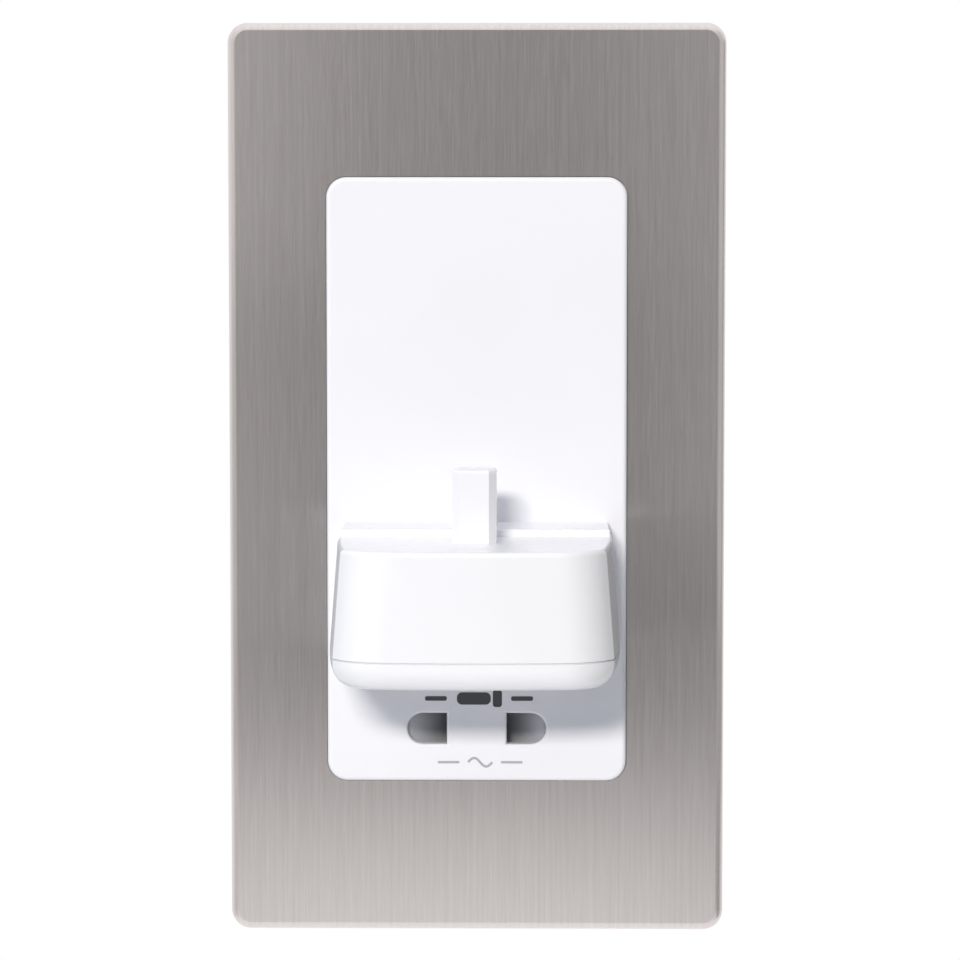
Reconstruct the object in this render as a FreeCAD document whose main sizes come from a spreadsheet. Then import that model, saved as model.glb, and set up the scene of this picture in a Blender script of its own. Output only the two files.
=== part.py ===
import FreeCAD, Part
import math
import os
import re
import Sketcher

# Wall-mounted shaver socket with a toothbrush charging dock, sizes in millimetres.
# The wall surface is the plane Y = 0, the front faces -Y, +Z is up and +X is to the right.
dimensions = (
    # Pressed steel front plate
    ("plate_width", 86.0),
    ("plate_height", 158.0),
    ("plate_depth", 5.5),
    ("plate_corner", 3.5),
    ("plate_edge", 1.3),
    ("plate_sheet", 1.2),
    ("window_gap", 0.1),
    # Snap carrier bonded inside the plate
    ("carrier_thickness", 1.6),
    ("carrier_gap", 0.3),
    ("carrier_side", 2.0),
    ("carrier_end", 5.5),
    ("hook_place", 40.0),
    ("hook_width", 10.0),
    ("hook_gap", 0.3),
    ("hook_nib", 0.8),
    ("nib_thickness", 0.7),
    ("nib_gap", 0.25),
    # Mounting yoke, fixed to the wall box
    ("yoke_side_inset", 3.0),
    ("yoke_end_inset", 4.0),
    ("yoke_width", "=plate_width - 2*yoke_side_inset"),
    ("yoke_height", "=plate_height - 2*yoke_end_inset"),
    ("yoke_thickness", 2.0),
    ("yoke_corner", 3.0),
    ("yoke_gap", 0.4),
    ("box_screw_pitch", 120.6),
    ("box_screw_hole", 4.0),
    # Moulded socket panel
    ("panel_width", 52.0),
    ("panel_height", 105.0),
    ("panel_corner", 3.5),
    ("panel_proud", 1.0),
    ("panel_edge", 0.8),
    ("panel_face", 2.5),
    ("flange_side_land", 8.0),
    ("flange_end_land", 4.5),
    ("flange_width", "=panel_width + 2*flange_side_land"),
    ("flange_height", "=panel_height + 2*flange_end_land"),
    ("flange_corner", 4.0),
    ("flange_gap", 0.2),
    ("flange_screw_land", 3.0),
    ("flange_screw_x", "=housing_width/2 + flange_screw_land"),
    ("flange_screw_z", 40.0),
    ("skirt_wall", 1.8),
    ("skirt_depth", 6.0),
    ("skirt_gap", 0.2),
    # Pin slots
    ("slot_inner", 5.2),
    ("slot_outer", 12.05),
    ("slot_height", 5.4),
    ("slot_margin", 9.2),
    ("slot_drop", "=panel_height/2 - slot_margin"),
    ("slot_rim", 0.5),
    # Rear housing
    ("housing_side_step", 2.0),
    ("housing_end_step", 1.5),
    ("housing_width", "=panel_width + 2*housing_side_step"),
    ("housing_height", "=panel_height + 2*housing_end_step"),
    ("housing_depth", 34.0),
    ("housing_corner", 4.0),
    ("housing_wall", 2.0),
    ("housing_edge", 1.5),
    ("well_bore", 6.6),
    ("well_wall", 1.2),
    ("well_bite", 0.3),
    ("well_slot_gap", 12.5),
    ("well_x", "=housing_width/2 - housing_wall - well_bore/2 - well_wall + well_bite"),
    ("well_top", "=housing_height/2 - housing_wall - well_bore/2 - well_wall + well_bite"),
    ("well_low", "=slot_drop - well_slot_gap"),
    ("well_floor", 2.0),
    ("boss_reach", 6.0),
    ("vent_count", 6.0),
    ("vent_pitch", 5.0),
    ("vent_width", 2.0),
    ("vent_length", 18.0),
    # Screws and their holes
    ("boss_diameter", 6.0),
    ("pilot_hole", 3.0),
    ("screw_shank", 2.9),
    ("screw_clear", 3.3),
    ("screw_head", 5.4),
    ("screw_head_height", 2.0),
    ("small_shank", 2.4),
    ("small_hole", 2.5),
    ("small_head", 4.6),
    ("small_head_height", 1.2),
    ("screw_bite", 6.0),
    ("head_gap", 0.25),
    ("end_gap", 0.25),
    # Contact block with shutter channel
    ("block_gap", 0.4),
    ("block_width", "=housing_width - 2*housing_wall - 2*skirt_gap - 2*skirt_wall - 2*block_gap"),
    ("block_height", 12.6),
    ("block_corner", 2.0),
    ("block_floor", 1.7),
    ("block_end", 1.7),
    ("web_half", 4.6),
    ("chamber_depth", 12.0),
    ("chamber_half", "=contact_mouth + contact_sheet + contact_gap"),
    ("chamber_wall", 1.2),
    ("ear_x", 7.0),
    ("ear_rise", 3.4),
    ("ear_width", 6.0),
    ("ear_thickness", 2.0),
    # Shutters and springs
    ("shutter_gap", 0.3),
    ("shutter_tip", 5.0),
    ("shutter_crest", 11.4),
    ("shutter_end", 13.5),
    ("shutter_half", 3.7),
    ("shutter_depth", 5.7),
    ("shutter_nose", 0.8),
    ("spring_coil", 4.4),
    ("spring_wire", 0.35),
    ("spring_turns", 5.0),
    # Pin contacts
    ("pin_place", 8.33),
    ("contact_sheet", 0.6),
    ("contact_half", 2.4),
    ("contact_mouth", 2.9),
    ("contact_pinch", 2.15),
    ("contact_root", 2.75),
    ("contact_pinch_depth", 3.0),
    ("contact_length", 10.0),
    ("contact_start", 0.8),
    ("contact_gap", 0.2),
    ("tail_length", 4.0),
    # Charging dock
    ("dock_reach", 43.0),
    ("dock_top", 8.3),
    ("dock_parting", 26.3),
    ("dock_bottom", 31.2),
    ("dock_wall", 2.0),
    ("dock_half_back_top", 22.9),
    ("dock_taper", 1.1),
    ("dock_flare", 1.35),
    ("dock_half_front_top", "=dock_half_back_top - dock_taper"),
    ("dock_half_back_low", "=dock_half_back_top + dock_flare"),
    ("dock_half_front_low", "=dock_half_front_top + dock_flare"),
    ("dock_draft_front", 0.5),
    ("dock_side_bow", 0.8),
    ("dock_front_bow", 0.8),
    ("dock_corner_width", 8.0),
    ("dock_corner_depth", 5.7),
    ("dock_corner_radius", 10.0),
    ("dock_top_edge", 0.9),
    ("dock_base_edge", 3.9),
    ("corner_ease", 0.4),
    ("base_floor", 1.8),
    ("lip_gap", 0.25),
    ("lip_wall", 1.2),
    ("lip_height", 1.5),
    ("gasket_thickness", 0.3),
    ("gasket_inset", 0.2),
    ("gasket_width", 1.2),
    ("ledge_depth", 15.0),
    ("ledge_height", 1.25),
    ("ledge_inset", 0.1),
    ("ledge_edge", 0.35),
    ("post_setback", 19.0),
    ("post_reach", "=dock_reach - post_setback"),
    ("post_width", 7.4),
    ("post_depth", 8.0),
    ("post_corner", 1.25),
    ("post_height", 12.3),
    ("post_edge", 0.6),
    ("post_bore", 4.6),
    ("post_cap", 1.6),
    ("dock_screw_x", 16.0),
    ("dock_screw_high", 14.5),
    ("dock_screw_low", 21.0),
    ("dock_boss_length", 8.0),
    ("lead_hole", 5.0),
    ("lead_drop", 18.0),
    ("base_screw_x", 14.0),
    ("base_screw_setback", 9.0),
    ("base_screw_reach", "=dock_reach - base_screw_setback"),
    # Charging coil
    ("former_flange", 16.0),
    ("former_sheet", 1.0),
    ("former_tube", "=post_bore + 2*former_sheet"),
    ("former_height", 11.4),
    ("coil_inset", 0.5),
    ("coil_diameter", "=former_flange - 2*coil_inset"),
    ("coil_gap", 0.1),
    ("ferrite_gap", 0.1),
    ("ferrite_tail", 0.6),
    ("ferrite_crown", 0.4),
    # Charger board
    ("board_width", 32.0),
    ("board_height", 26.0),
    ("board_thickness", 1.6),
    ("board_corner", 1.2),
    ("board_slot_gap", 23.5),
    ("board_drop", "=slot_drop - board_slot_gap"),
    ("board_level", 9.0),
    ("board_screw_inset", 3.0),
    ("board_screw_x", "=board_width/2 - board_screw_inset"),
    ("board_screw_z", "=board_height/2 - board_screw_inset"),
    ("standoff", 4.6),
    ("capacitor_diameter", 8.0),
    ("capacitor_length", 11.0),
    ("capacitor_x", 8.0),
    ("capacitor_rise", 3.2),
    ("film_width", 10.0),
    ("film_thickness", 5.0),
    ("film_height", 8.0),
    ("film_x", 6.4),
    ("film_rise", 3.2),
    ("bridge_width", 7.0),
    ("bridge_thickness", 3.2),
    ("bridge_x", 6.4),
    ("bridge_drop", 6.5),
    ("fuse_size", 4.5),
    ("fuse_length", 13.0),
    ("board_margin", 1.0),
    # Isolating transformer
    ("core_side_room", 2.0),
    ("core_end_room", 64.0),
    ("core_board_gap", 2.0),
    ("core_stack", 16.0),
    ("core_front", 9.0),
    ("core_width", "=housing_width - 2*housing_wall - 2*core_side_room"),
    ("core_height", "=housing_height - 2*housing_wall - core_end_room"),
    ("core_rise", "=core_height/2 + board_height/2 + core_board_gap - board_drop"),
    ("core_limb", "=core_width/6"),
    ("core_window", "=core_height - 2*core_limb"),
    ("core_window_width", "=core_width/6"),
    ("core_hole", 3.5),
    ("bobbin_gap", 0.2),
    ("bobbin_sheet", 1.0),
    ("winding_gap", 0.15),
    ("winding_out", 5.6),
    ("winding_inset", 0.3),
    ("winding_corner", 3.0),
    ("clamp_sheet", 1.0),
    ("clamp_width", 6.0),
    ("clamp_foot", 7.0),
    ("clamp_boss_height", 6.0),
    ("cutout_width", 7.0),
    ("cutout_height", 9.0),
    ("cutout_thickness", 3.0),
    # Supply terminals
    ("terminal_width", 30.0),
    ("terminal_height", 13.0),
    ("terminal_drop", 28.0),
    ("terminal_inset", 12.0),
    ("terminal_front", "=housing_depth - terminal_inset"),
    ("terminal_proud", 8.0),
    ("terminal_lip", 1.0),
    ("terminal_lip_depth", 2.4),
    ("terminal_gap", 0.15),
    ("terminal_pitch", 9.0),
    ("terminal_cell", 6.4),
    ("terminal_cell_depth", 9.0),
    ("terminal_skin", 1.4),
    ("wire_entry", 3.6),
    ("clamp_screw", 3.2),
    ("clamp_screw_head", 4.4),
)

doc = FreeCAD.newDocument("shaver_socket")
sheet = doc.addObject("Spreadsheet::Sheet", "Sizes")
for row, (alias, size) in enumerate(dimensions, start=1):
    sheet.set(f"A{row}", alias)
    sheet.setAlias(f"B{row}", alias)
for row, (alias, size) in enumerate(dimensions, start=1):
    sheet.set(f"B{row}", str(size))
doc.recompute()

aliases = {alias for alias, size in dimensions}
parts = []
sides = {"left": "-1", "right": "1"}
turns = {
    "up": FreeCAD.Rotation(),
    "down": FreeCAD.Rotation(FreeCAD.Vector(1, 0, 0), 180),
    "back": FreeCAD.Rotation(FreeCAD.Vector(1, 0, 0), -90),
    "front": FreeCAD.Rotation(FreeCAD.Vector(1, 0, 0), 90),
}
tolerance = 1e-4


# Expressions and sketches
def bound(text):
    return re.sub(r"[a-z_]+", lambda word: "Sizes." + word[0] if word[0] in aliases else word[0], text)


def value(text):
    return float(sheet.evalExpression(text))


def new_body(label):
    body = doc.addObject("PartDesign::Body", label)
    body.Label = label
    parts.append(body)
    return body


def sketch_on(body, name, plane, offset):
    sketch = body.newObject("Sketcher::SketchObject", name)
    support = next(item for item in body.Origin.OriginFeatures if item.Role == plane)
    sketch.AttachmentSupport = (support, [""])
    sketch.MapMode = "FlatFace"
    sketch.setExpression("AttachmentOffset.Base.z", bound(offset))
    return sketch


def front_sketch(body, name, depth):
    return sketch_on(body, name, "XZ_Plane", f"-({depth})")


def plan_sketch(body, name, level):
    return sketch_on(body, name, "XY_Plane", level)


def hold(sketch, target, text):
    index = sketch.addConstraint(Sketcher.Constraint(*target, value(text)))
    sketch.renameConstraint(index, f"size_{index}")
    sketch.setExpression(f"Constraints.size_{index}", bound(text))


def arc_between(start, finish, radius):
    chord = finish - start
    rise = math.sqrt(max(radius ** 2 - chord.Length ** 2 / 4, 0))
    left = FreeCAD.Vector(-chord.y, chord.x, 0) / chord.Length
    centre = (start + finish) / 2 + left * rise
    first, last = start - centre, finish - centre
    circle = Part.Circle(centre, FreeCAD.Vector(0, 0, 1), radius)
    return Part.ArcOfCircle(circle, math.atan2(first.y, first.x), math.atan2(last.y, last.x))


def draw(sketch, points, arcs=None):
    arcs = arcs or {}
    places = [FreeCAD.Vector(value(x), value(y), 0) for x, y in points]
    segments = []
    for index, start in enumerate(places):
        finish = places[(index + 1) % len(places)]
        if index in arcs:
            segments.append(sketch.addGeometry(arc_between(start, finish, value(arcs[index]))))
        else:
            segments.append(sketch.addGeometry(Part.LineSegment(start, finish)))
    for index, segment in enumerate(segments):
        following = (index + 1) % len(segments)
        sketch.addConstraint(Sketcher.Constraint("Coincident", segment, 2, segments[following], 1))
        hold(sketch, ("DistanceX", -1, 1, segment, 1), points[index][0])
        hold(sketch, ("DistanceY", -1, 1, segment, 1), points[index][1])
        if index not in arcs:
            continue
        half_round = (places[following] - places[index]).Length > 2 * value(arcs[index]) - tolerance
        if half_round:
            hold(sketch, ("DistanceX", -1, 1, segment, 3), points[index][0])
        else:
            hold(sketch, ("Radius", segment), arcs[index])


def circle(sketch, diameter, x, y):
    centre = FreeCAD.Vector(value(x), value(y), 0)
    index = sketch.addGeometry(Part.Circle(centre, FreeCAD.Vector(0, 0, 1), value(diameter) / 2))
    hold(sketch, ("DistanceX", -1, 1, index, 3), x)
    hold(sketch, ("DistanceY", -1, 1, index, 3), y)
    hold(sketch, ("Diameter", index), diameter)


def rectangle(sketch, width, height, x="0", y="0"):
    left, right = f"{x} - ({width})/2", f"{x} + ({width})/2"
    low, high = f"{y} - ({height})/2", f"{y} + ({height})/2"
    draw(sketch, [(left, low), (right, low), (right, high), (left, high)])


def bevelled(sketch, width, height, corner, x="0", y="0", arcs=None):
    left, right = f"{x} - ({width})/2", f"{x} + ({width})/2"
    low, high = f"{y} - ({height})/2", f"{y} + ({height})/2"
    points = [
        (f"{left} + {corner}", low),
        (f"{right} - ({corner})", low),
        (right, f"{low} + {corner}"),
        (right, f"{high} - ({corner})"),
        (f"{right} - ({corner})", high),
        (f"{left} + {corner}", high),
        (left, f"{high} - ({corner})"),
        (left, f"{low} + {corner}"),
    ]
    draw(sketch, points, arcs)


def rounded(sketch, width, height, radius, x="0", y="0"):
    bevelled(sketch, width, height, radius, x, y, {index: radius for index in (1, 3, 5, 7)})


# Features
def add_feature(sketch, kind, length, reverse):
    body = sketch.getParentGeoFeatureGroup()
    doc.recompute()
    before = body.Shape.Volume if body.Tip else 0.0
    feature = body.newObject(f"PartDesign::{kind}", f"{sketch.Name}_{kind.lower()}")
    feature.Profile = sketch
    feature.setExpression("Length", bound(length))
    feature.Reversed = reverse
    doc.recompute()
    change = feature.Shape.Volume - before
    if change * (1 if kind == "Pad" else -1) < tolerance:
        raise RuntimeError(f"{feature.Label} changes no volume")
    return feature


def pad(sketch, length, toward):
    return add_feature(sketch, "Pad", length, toward in ("back", "down"))


def pocket(sketch, depth, toward):
    return add_feature(sketch, "Pocket", depth, toward in ("front", "up"))


def loft(kind, first, last):
    body = first.getParentGeoFeatureGroup()
    feature = body.newObject(f"PartDesign::{kind}", f"{first.Name}_loft")
    feature.Profile = first
    feature.Sections = [last]
    feature.Ruled = True
    doc.recompute()
    return feature


def fillet(base, radius, wanted):
    body = base.getParentGeoFeatureGroup()
    names = [f"Edge{index}" for index, edge in enumerate(base.Shape.Edges, start=1) if wanted(edge)]
    feature = body.newObject("PartDesign::Fillet", f"{base.Name}_fillet")
    feature.Base = (base, names)
    feature.setExpression("Radius", bound(radius))
    doc.recompute()
    return feature


def in_plane(axis, text):
    level = value(text)

    def wanted(edge):
        box = edge.BoundBox
        low, high = getattr(box, axis + "Min"), getattr(box, axis + "Max")
        return abs(low - level) < tolerance and abs(high - level) < tolerance

    return wanted


# Primitives
def place(item, corner, toward="up"):
    item.Placement = FreeCAD.Placement(FreeCAD.Vector(), turns[toward])
    for axis, text in zip("xyz", corner):
        item.setExpression(f"Placement.Base.{axis}", bound(text))
    return item


def rod(name, diameter, length, start, toward):
    item = doc.addObject("Part::Cylinder", name)
    item.setExpression("Radius", bound(f"({diameter})/2"))
    item.setExpression("Height", bound(length))
    return place(item, start, toward)


def brick(name, width, depth, height, centre_x, low_y, low_z):
    item = doc.addObject("Part::Box", name)
    item.setExpression("Length", bound(width))
    item.setExpression("Width", bound(depth))
    item.setExpression("Height", bound(height))
    return place(item, (f"{centre_x} - ({width})/2", low_y, low_z))


def fused(name, first, second):
    item = doc.addObject("Part::Fuse", name)
    item.Base = first
    item.Tool = second
    return item


def cut(name, base, tool):
    item = doc.addObject("Part::Cut", name)
    item.Base = base
    item.Tool = tool
    return item


def group(label, pieces):
    item = doc.addObject("Part::Compound", label)
    item.Label = label
    item.Links = pieces
    parts.append(item)


def whole(item, label):
    item.Label = label
    parts.append(item)


large_screw = ("screw_shank", "screw_head", "screw_head_height")
small_screw = ("small_shank", "small_head", "small_head_height")


# A pan-head screw whose head sits on the seat and whose shank points along toward
def pan_screw(name, seat, toward, length, sizes):
    shank, head, rise = sizes
    behind = {"up": "down", "down": "up", "back": "front", "front": "back"}[toward]
    shaft = rod(f"{name}_shank", shank, length, seat, toward)
    cap = rod(f"{name}_head", head, rise, seat, behind)
    return fused(name, shaft, cap)


# Shared levels along Y and Z
panel_front = "(-plate_depth - panel_proud)"
panel_inside = "(-plate_depth - panel_proud + panel_face)"
sheet_inside = "(-plate_depth + plate_sheet)"
pan_width = "(plate_width - 2*plate_sheet)"
pan_height = "(plate_height - 2*plate_sheet)"
pan_corner = "(plate_corner - plate_sheet)"
flange_front = "(-plate_depth + plate_sheet + flange_gap)"
flange_back = "(-yoke_thickness)"
skirt_end = "(skirt_depth - yoke_thickness)"
housing_inside = "(housing_depth - housing_wall)"
skirt_width = "(housing_width - 2*housing_wall - 2*skirt_gap)"
skirt_height = "(housing_height - 2*housing_wall - 2*skirt_gap)"
skirt_corner = "(housing_corner - housing_wall)"
cavity_width = f"({skirt_width} - 2*skirt_wall)"
cavity_height = f"({skirt_height} - 2*skirt_wall)"
slot_level = "(-slot_drop)"
ear_level = f"({slot_level} + block_height/2 + ear_rise)"
block_back = f"({panel_inside} + 2*shutter_gap + shutter_depth + block_floor)"
channel_floor = f"({block_back} - block_floor)"
core_back = "(core_front + core_stack)"
clamp_reach = "(core_height/2 + clamp_sheet + clamp_foot/2)"
clamp_x = "(core_width/2 - core_limb/2)"
clamp_seat = f"({housing_inside} - clamp_boss_height)"
clamp_front = f"({clamp_seat} - clamp_sheet)"
board_back = "(board_level + board_thickness)"
dock_ceiling = "(-dock_top - dock_wall)"
post_place = f"({panel_front} - post_reach)"
post_top = "(-dock_top + post_height)"
base_top = "(-dock_parting - gasket_thickness)"
base_inside = "(-dock_bottom + base_floor)"
terminal_back = "(housing_depth + terminal_proud)"

four_wells = [(f"{sign}*well_x", level) for sign in sides.values() for level in ("well_top", "-well_low")]
four_flange_screws = [
    (f"{across}*flange_screw_x", f"{upright}*flange_screw_z")
    for across in sides.values()
    for upright in sides.values()
]
four_dock_screws = [
    (f"{sign}*dock_screw_x", level)
    for sign in sides.values()
    for level in ("-dock_screw_high", "-dock_screw_low")
]
four_board_screws = [
    (f"{across}*board_screw_x", f"-board_drop + {upright}*board_screw_z")
    for across in sides.values()
    for upright in sides.values()
]
two_ears = [(f"{sign}*ear_x", ear_level) for sign in sides.values()]
four_clamp_feet = [
    (f"{across}*{clamp_x}", f"core_rise + {upright}*{clamp_reach}")
    for across in sides.values()
    for upright in sides.values()
]
two_base_screws = [(f"{sign}*base_screw_x", f"{panel_front} - base_screw_reach") for sign in sides.values()]


# Front plate: one steel pan with a rounded rim and the panel's window
def front_plate():
    body = new_body("front_plate")
    outer = front_sketch(body, "plate_outline", "0")
    rounded(outer, "plate_width", "plate_height", "plate_corner")
    pan = pad(outer, "plate_depth", "front")
    fillet(pan, "plate_edge", in_plane("Y", "-plate_depth"))
    inside = front_sketch(body, "plate_inside", "0")
    rounded(inside, pan_width, pan_height, pan_corner)
    pocket(inside, "plate_depth - plate_sheet", "front")
    window = front_sketch(body, "plate_window", "0")
    corner = "(panel_corner + window_gap)"
    rounded(window, "panel_width + 2*window_gap", "panel_height + 2*window_gap", corner)
    pocket(window, "plate_depth", "front")


# Snap carrier: a moulded ring behind the steel with four hooks that grip the yoke's edges
def plate_carrier():
    body = new_body("plate_carrier")
    width = f"({pan_width} - 2*carrier_gap)"
    height = f"({pan_height} - 2*carrier_gap)"
    ring = front_sketch(body, "carrier_ring", sheet_inside)
    rounded(ring, width, height, pan_corner)
    rounded(ring, "flange_width + 2*carrier_side", "flange_height + 2*carrier_end", "flange_corner")
    pad(ring, "carrier_thickness", "back")
    arm_width = f"({width}/2 - yoke_width/2 - hook_gap)"
    nib_middle = "(-yoke_thickness/2)"
    legs = front_sketch(body, "hook_legs", f"{sheet_inside} + carrier_thickness")
    nibs = front_sketch(body, "hook_nibs", f"{nib_middle} - nib_thickness/2")
    for across in sides.values():
        for upright in sides.values():
            arm = f"{across}*({width}/2 - {arm_width}/2)"
            level = f"{upright}*hook_place"
            rectangle(legs, arm_width, "hook_width", arm, level)
            nib = f"{across}*(yoke_width/2 + hook_gap - hook_nib/2)"
            rectangle(nibs, "hook_nib", "hook_width", nib, level)
    pad(legs, f"{nib_middle} + nib_thickness/2 - ({sheet_inside} + carrier_thickness)", "back")
    pad(nibs, "nib_thickness", "back")


# Mounting yoke: the frame that the wall box screws hold
def mounting_yoke():
    body = new_body("mounting_yoke")
    frame = front_sketch(body, "yoke_outline", "0")
    rounded(frame, "yoke_width", "yoke_height", "yoke_corner")
    rounded(
        frame,
        "housing_width + 2*yoke_gap",
        "housing_height + 2*yoke_gap",
        "(housing_corner + yoke_gap)",
    )
    pad(frame, "yoke_thickness", "front")
    holes = front_sketch(body, "yoke_holes", "0")
    for upright in sides.values():
        circle(holes, "box_screw_hole", "0", f"{upright}*box_screw_pitch/2")
    for x, z in four_flange_screws:
        circle(holes, "small_hole", x, z)
    pocket(holes, "yoke_thickness", "front")
    groove_height = "(nib_thickness + 2*nib_gap)"
    grooves = front_sketch(body, "nib_grooves", f"-yoke_thickness/2 - {groove_height}/2")
    groove_depth = "(hook_nib - hook_gap + nib_gap)"
    for across in sides.values():
        for upright in sides.values():
            rectangle(
                grooves,
                groove_depth,
                "hook_width + 2*nib_gap",
                f"{across}*(yoke_width/2 - {groove_depth}/2)",
                f"{upright}*hook_place",
            )
    pocket(grooves, groove_height, "back")


# Socket panel: the white insert, its flange behind the steel, skirt, slots and bosses
def socket_panel():
    body = new_body("socket_panel")
    flange = front_sketch(body, "panel_flange", flange_back)
    rounded(flange, "flange_width", "flange_height", "flange_corner")
    pad(flange, f"{flange_back} - {flange_front}", "front")
    face = front_sketch(body, "panel_face_outline", flange_front)
    rounded(face, "panel_width", "panel_height", "panel_corner")
    front = pad(face, f"{flange_front} - {panel_front}", "front")
    fillet(front, "panel_edge", in_plane("Y", panel_front))
    skirt = front_sketch(body, "panel_skirt", flange_back)
    rounded(skirt, skirt_width, skirt_height, skirt_corner)
    pad(skirt, "skirt_depth", "back")
    cavity = front_sketch(body, "panel_cavity", skirt_end)
    rounded(cavity, cavity_width, cavity_height, skirt_corner)
    pocket(cavity, f"{skirt_end} - {panel_inside}", "front")
    slots = front_sketch(body, "pin_slots", panel_front)
    low, high = f"{slot_level} - slot_height/2", f"{slot_level} + slot_height/2"
    bend = "(slot_outer - slot_height/2)"
    right = [("slot_inner", low), (bend, low), (bend, high), ("slot_inner", high)]
    draw(slots, right, {1: "slot_height/2"})
    left = [("-slot_inner", high), (f"-{bend}", high), (f"-{bend}", low), ("-slot_inner", low)]
    draw(slots, left, {1: "slot_height/2"})
    cut_slots = pocket(slots, "panel_face", "back")
    slot_zone = value(f"{slot_level} + slot_height")
    at_face = in_plane("Y", panel_front)
    reach = value("slot_outer") + tolerance

    def slot_edge(edge):
        box = edge.BoundBox
        return at_face(edge) and box.ZMax < slot_zone and max(abs(box.XMin), abs(box.XMax)) < reach

    fillet(cut_slots, "slot_rim", slot_edge)
    bosses = (
        ("housing_bosses", four_wells, "boss_reach", "boss_diameter", "pilot_hole"),
        ("block_bosses", two_ears, f"{block_back} - ear_thickness", "boss_diameter", "pilot_hole"),
        ("board_bosses", four_board_screws, "board_level", "standoff", "small_hole"),
    )
    for name, places, level, outside, inside in bosses:
        sketch = front_sketch(body, name, panel_inside)
        for x, z in places:
            circle(sketch, outside, x, z)
            circle(sketch, inside, x, z)
        pad(sketch, f"{level} - {panel_inside}", "back")
    holes = front_sketch(body, "dock_holes", panel_front)
    for x, z in four_dock_screws:
        circle(holes, "screw_clear", x, z)
    circle(holes, "lead_hole", "0", "-lead_drop")
    pocket(holes, "panel_face", "back")
    sinks = front_sketch(body, "flange_holes", flange_front)
    for x, z in four_flange_screws:
        circle(sinks, "small_head + 2*head_gap", x, z)
    pocket(sinks, "small_head_height", "back")
    ways = front_sketch(body, "flange_ways", f"{flange_front} + small_head_height")
    for x, z in four_flange_screws:
        circle(ways, "small_hole", x, z)
    pocket(ways, f"{flange_back} - {flange_front} - small_head_height", "back")


# Rear housing: a deep tray with screw wells, clamp bosses, cradle ribs, vents and the terminal window
def rear_housing():
    body = new_body("rear_housing")
    outline = front_sketch(body, "housing_outline", "housing_depth")
    rounded(outline, "housing_width", "housing_height", "housing_corner")
    block = pad(outline, f"housing_depth - {flange_back}", "front")
    fillet(block, "housing_edge", in_plane("Y", "housing_depth"))
    inside = front_sketch(body, "housing_cavity", flange_back)
    rounded(inside, "housing_width - 2*housing_wall", "housing_height - 2*housing_wall", skirt_corner)
    pocket(inside, f"{housing_inside} - {flange_back}", "back")
    tubes = front_sketch(body, "well_tubes", housing_inside)
    for x, z in four_wells:
        circle(tubes, "well_bore + 2*well_wall", x, z)
    pad(tubes, f"{housing_inside} - boss_reach", "front")
    bores = front_sketch(body, "well_bores", "housing_depth")
    for x, z in four_wells:
        circle(bores, "well_bore", x, z)
    pocket(bores, "housing_depth - boss_reach - well_floor", "front")
    ways = front_sketch(body, "well_ways", "boss_reach")
    for x, z in four_wells:
        circle(ways, "screw_clear", x, z)
    pocket(ways, "well_floor", "back")
    feet = front_sketch(body, "clamp_bosses", housing_inside)
    for x, z in four_clamp_feet:
        circle(feet, "boss_diameter", x, z)
        circle(feet, "pilot_hole", x, z)
    pad(feet, "clamp_boss_height", "front")
    ribs = front_sketch(body, "cradle_ribs", housing_inside)
    for sign in sides.values():
        rectangle(ribs, "housing_wall", "core_window", f"{sign}*{clamp_x}", "core_rise")
    pad(ribs, f"{housing_inside} - {core_back}", "front")
    window = front_sketch(body, "terminal_window", "housing_depth")
    rectangle(
        window,
        "terminal_width + 2*terminal_gap",
        "terminal_height + 2*terminal_gap",
        "0",
        "-terminal_drop",
    )
    pocket(window, "housing_wall", "front")
    vents = front_sketch(body, "vent_slots", "housing_depth")
    first_vent = "core_rise - (vent_count - 1)*vent_pitch/2"
    rectangle(vents, "vent_length", "vent_width", "0", first_vent)
    first = pocket(vents, "housing_wall", "front")
    row = body.newObject("PartDesign::LinearPattern", "vent_row")
    row.Originals = [first]
    row.Direction = (vents, ["V_Axis"])
    row.setExpression("Length", bound("(vent_count - 1)*vent_pitch"))
    row.setExpression("Occurrences", bound("vent_count"))
    body.Tip = row
    doc.recompute()


# Contact block: shutter channel at the front, two contact chambers behind, two ears above
def contact_block():
    body = new_body("contact_block")
    tray = front_sketch(body, "block_outline", block_back)
    rounded(tray, "block_width", "block_height", "block_corner", "0", slot_level)
    pad(tray, f"{block_back} - {panel_inside}", "front")
    channel = front_sketch(body, "shutter_channel", panel_inside)
    channel_end = "(block_width/2 - block_end)"
    length = f"({channel_end} - web_half)"
    for sign in sides.values():
        middle = f"{sign}*(web_half + {length}/2)"
        rectangle(channel, length, "2*shutter_half + 2*shutter_gap", middle, slot_level)
    pocket(channel, f"{channel_floor} - {panel_inside}", "back")
    inner_height = "(2*contact_half + 2*contact_gap)"
    outer_width = "(2*chamber_half + 2*chamber_wall)"
    outer_height = f"({inner_height} + 2*chamber_wall)"
    walls = front_sketch(body, "chamber_walls", block_back)
    rooms = front_sketch(body, "chamber_rooms", f"{block_back} + chamber_depth")
    tunnels = front_sketch(body, "pin_tunnels", channel_floor)
    for sign in sides.values():
        middle = f"{sign}*pin_place"
        rectangle(walls, outer_width, outer_height, middle, slot_level)
        rectangle(rooms, "2*chamber_half", inner_height, middle, slot_level)
        rectangle(tunnels, "2*contact_mouth", inner_height, middle, slot_level)
    pad(walls, "chamber_depth", "back")
    pocket(rooms, "chamber_depth", "front")
    pocket(tunnels, "block_floor", "back")
    ears = front_sketch(body, "ears", block_back)
    ear_top = f"{ear_level} + ear_width/2"
    ear_low = f"({slot_level} + block_height/2)"
    for x, z in two_ears:
        rectangle(ears, "ear_width", f"{ear_top} - {ear_low}", x, f"({ear_top} + {ear_low})/2")
        circle(ears, "screw_clear", x, z)
    pad(ears, "ear_thickness", "front")


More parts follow.
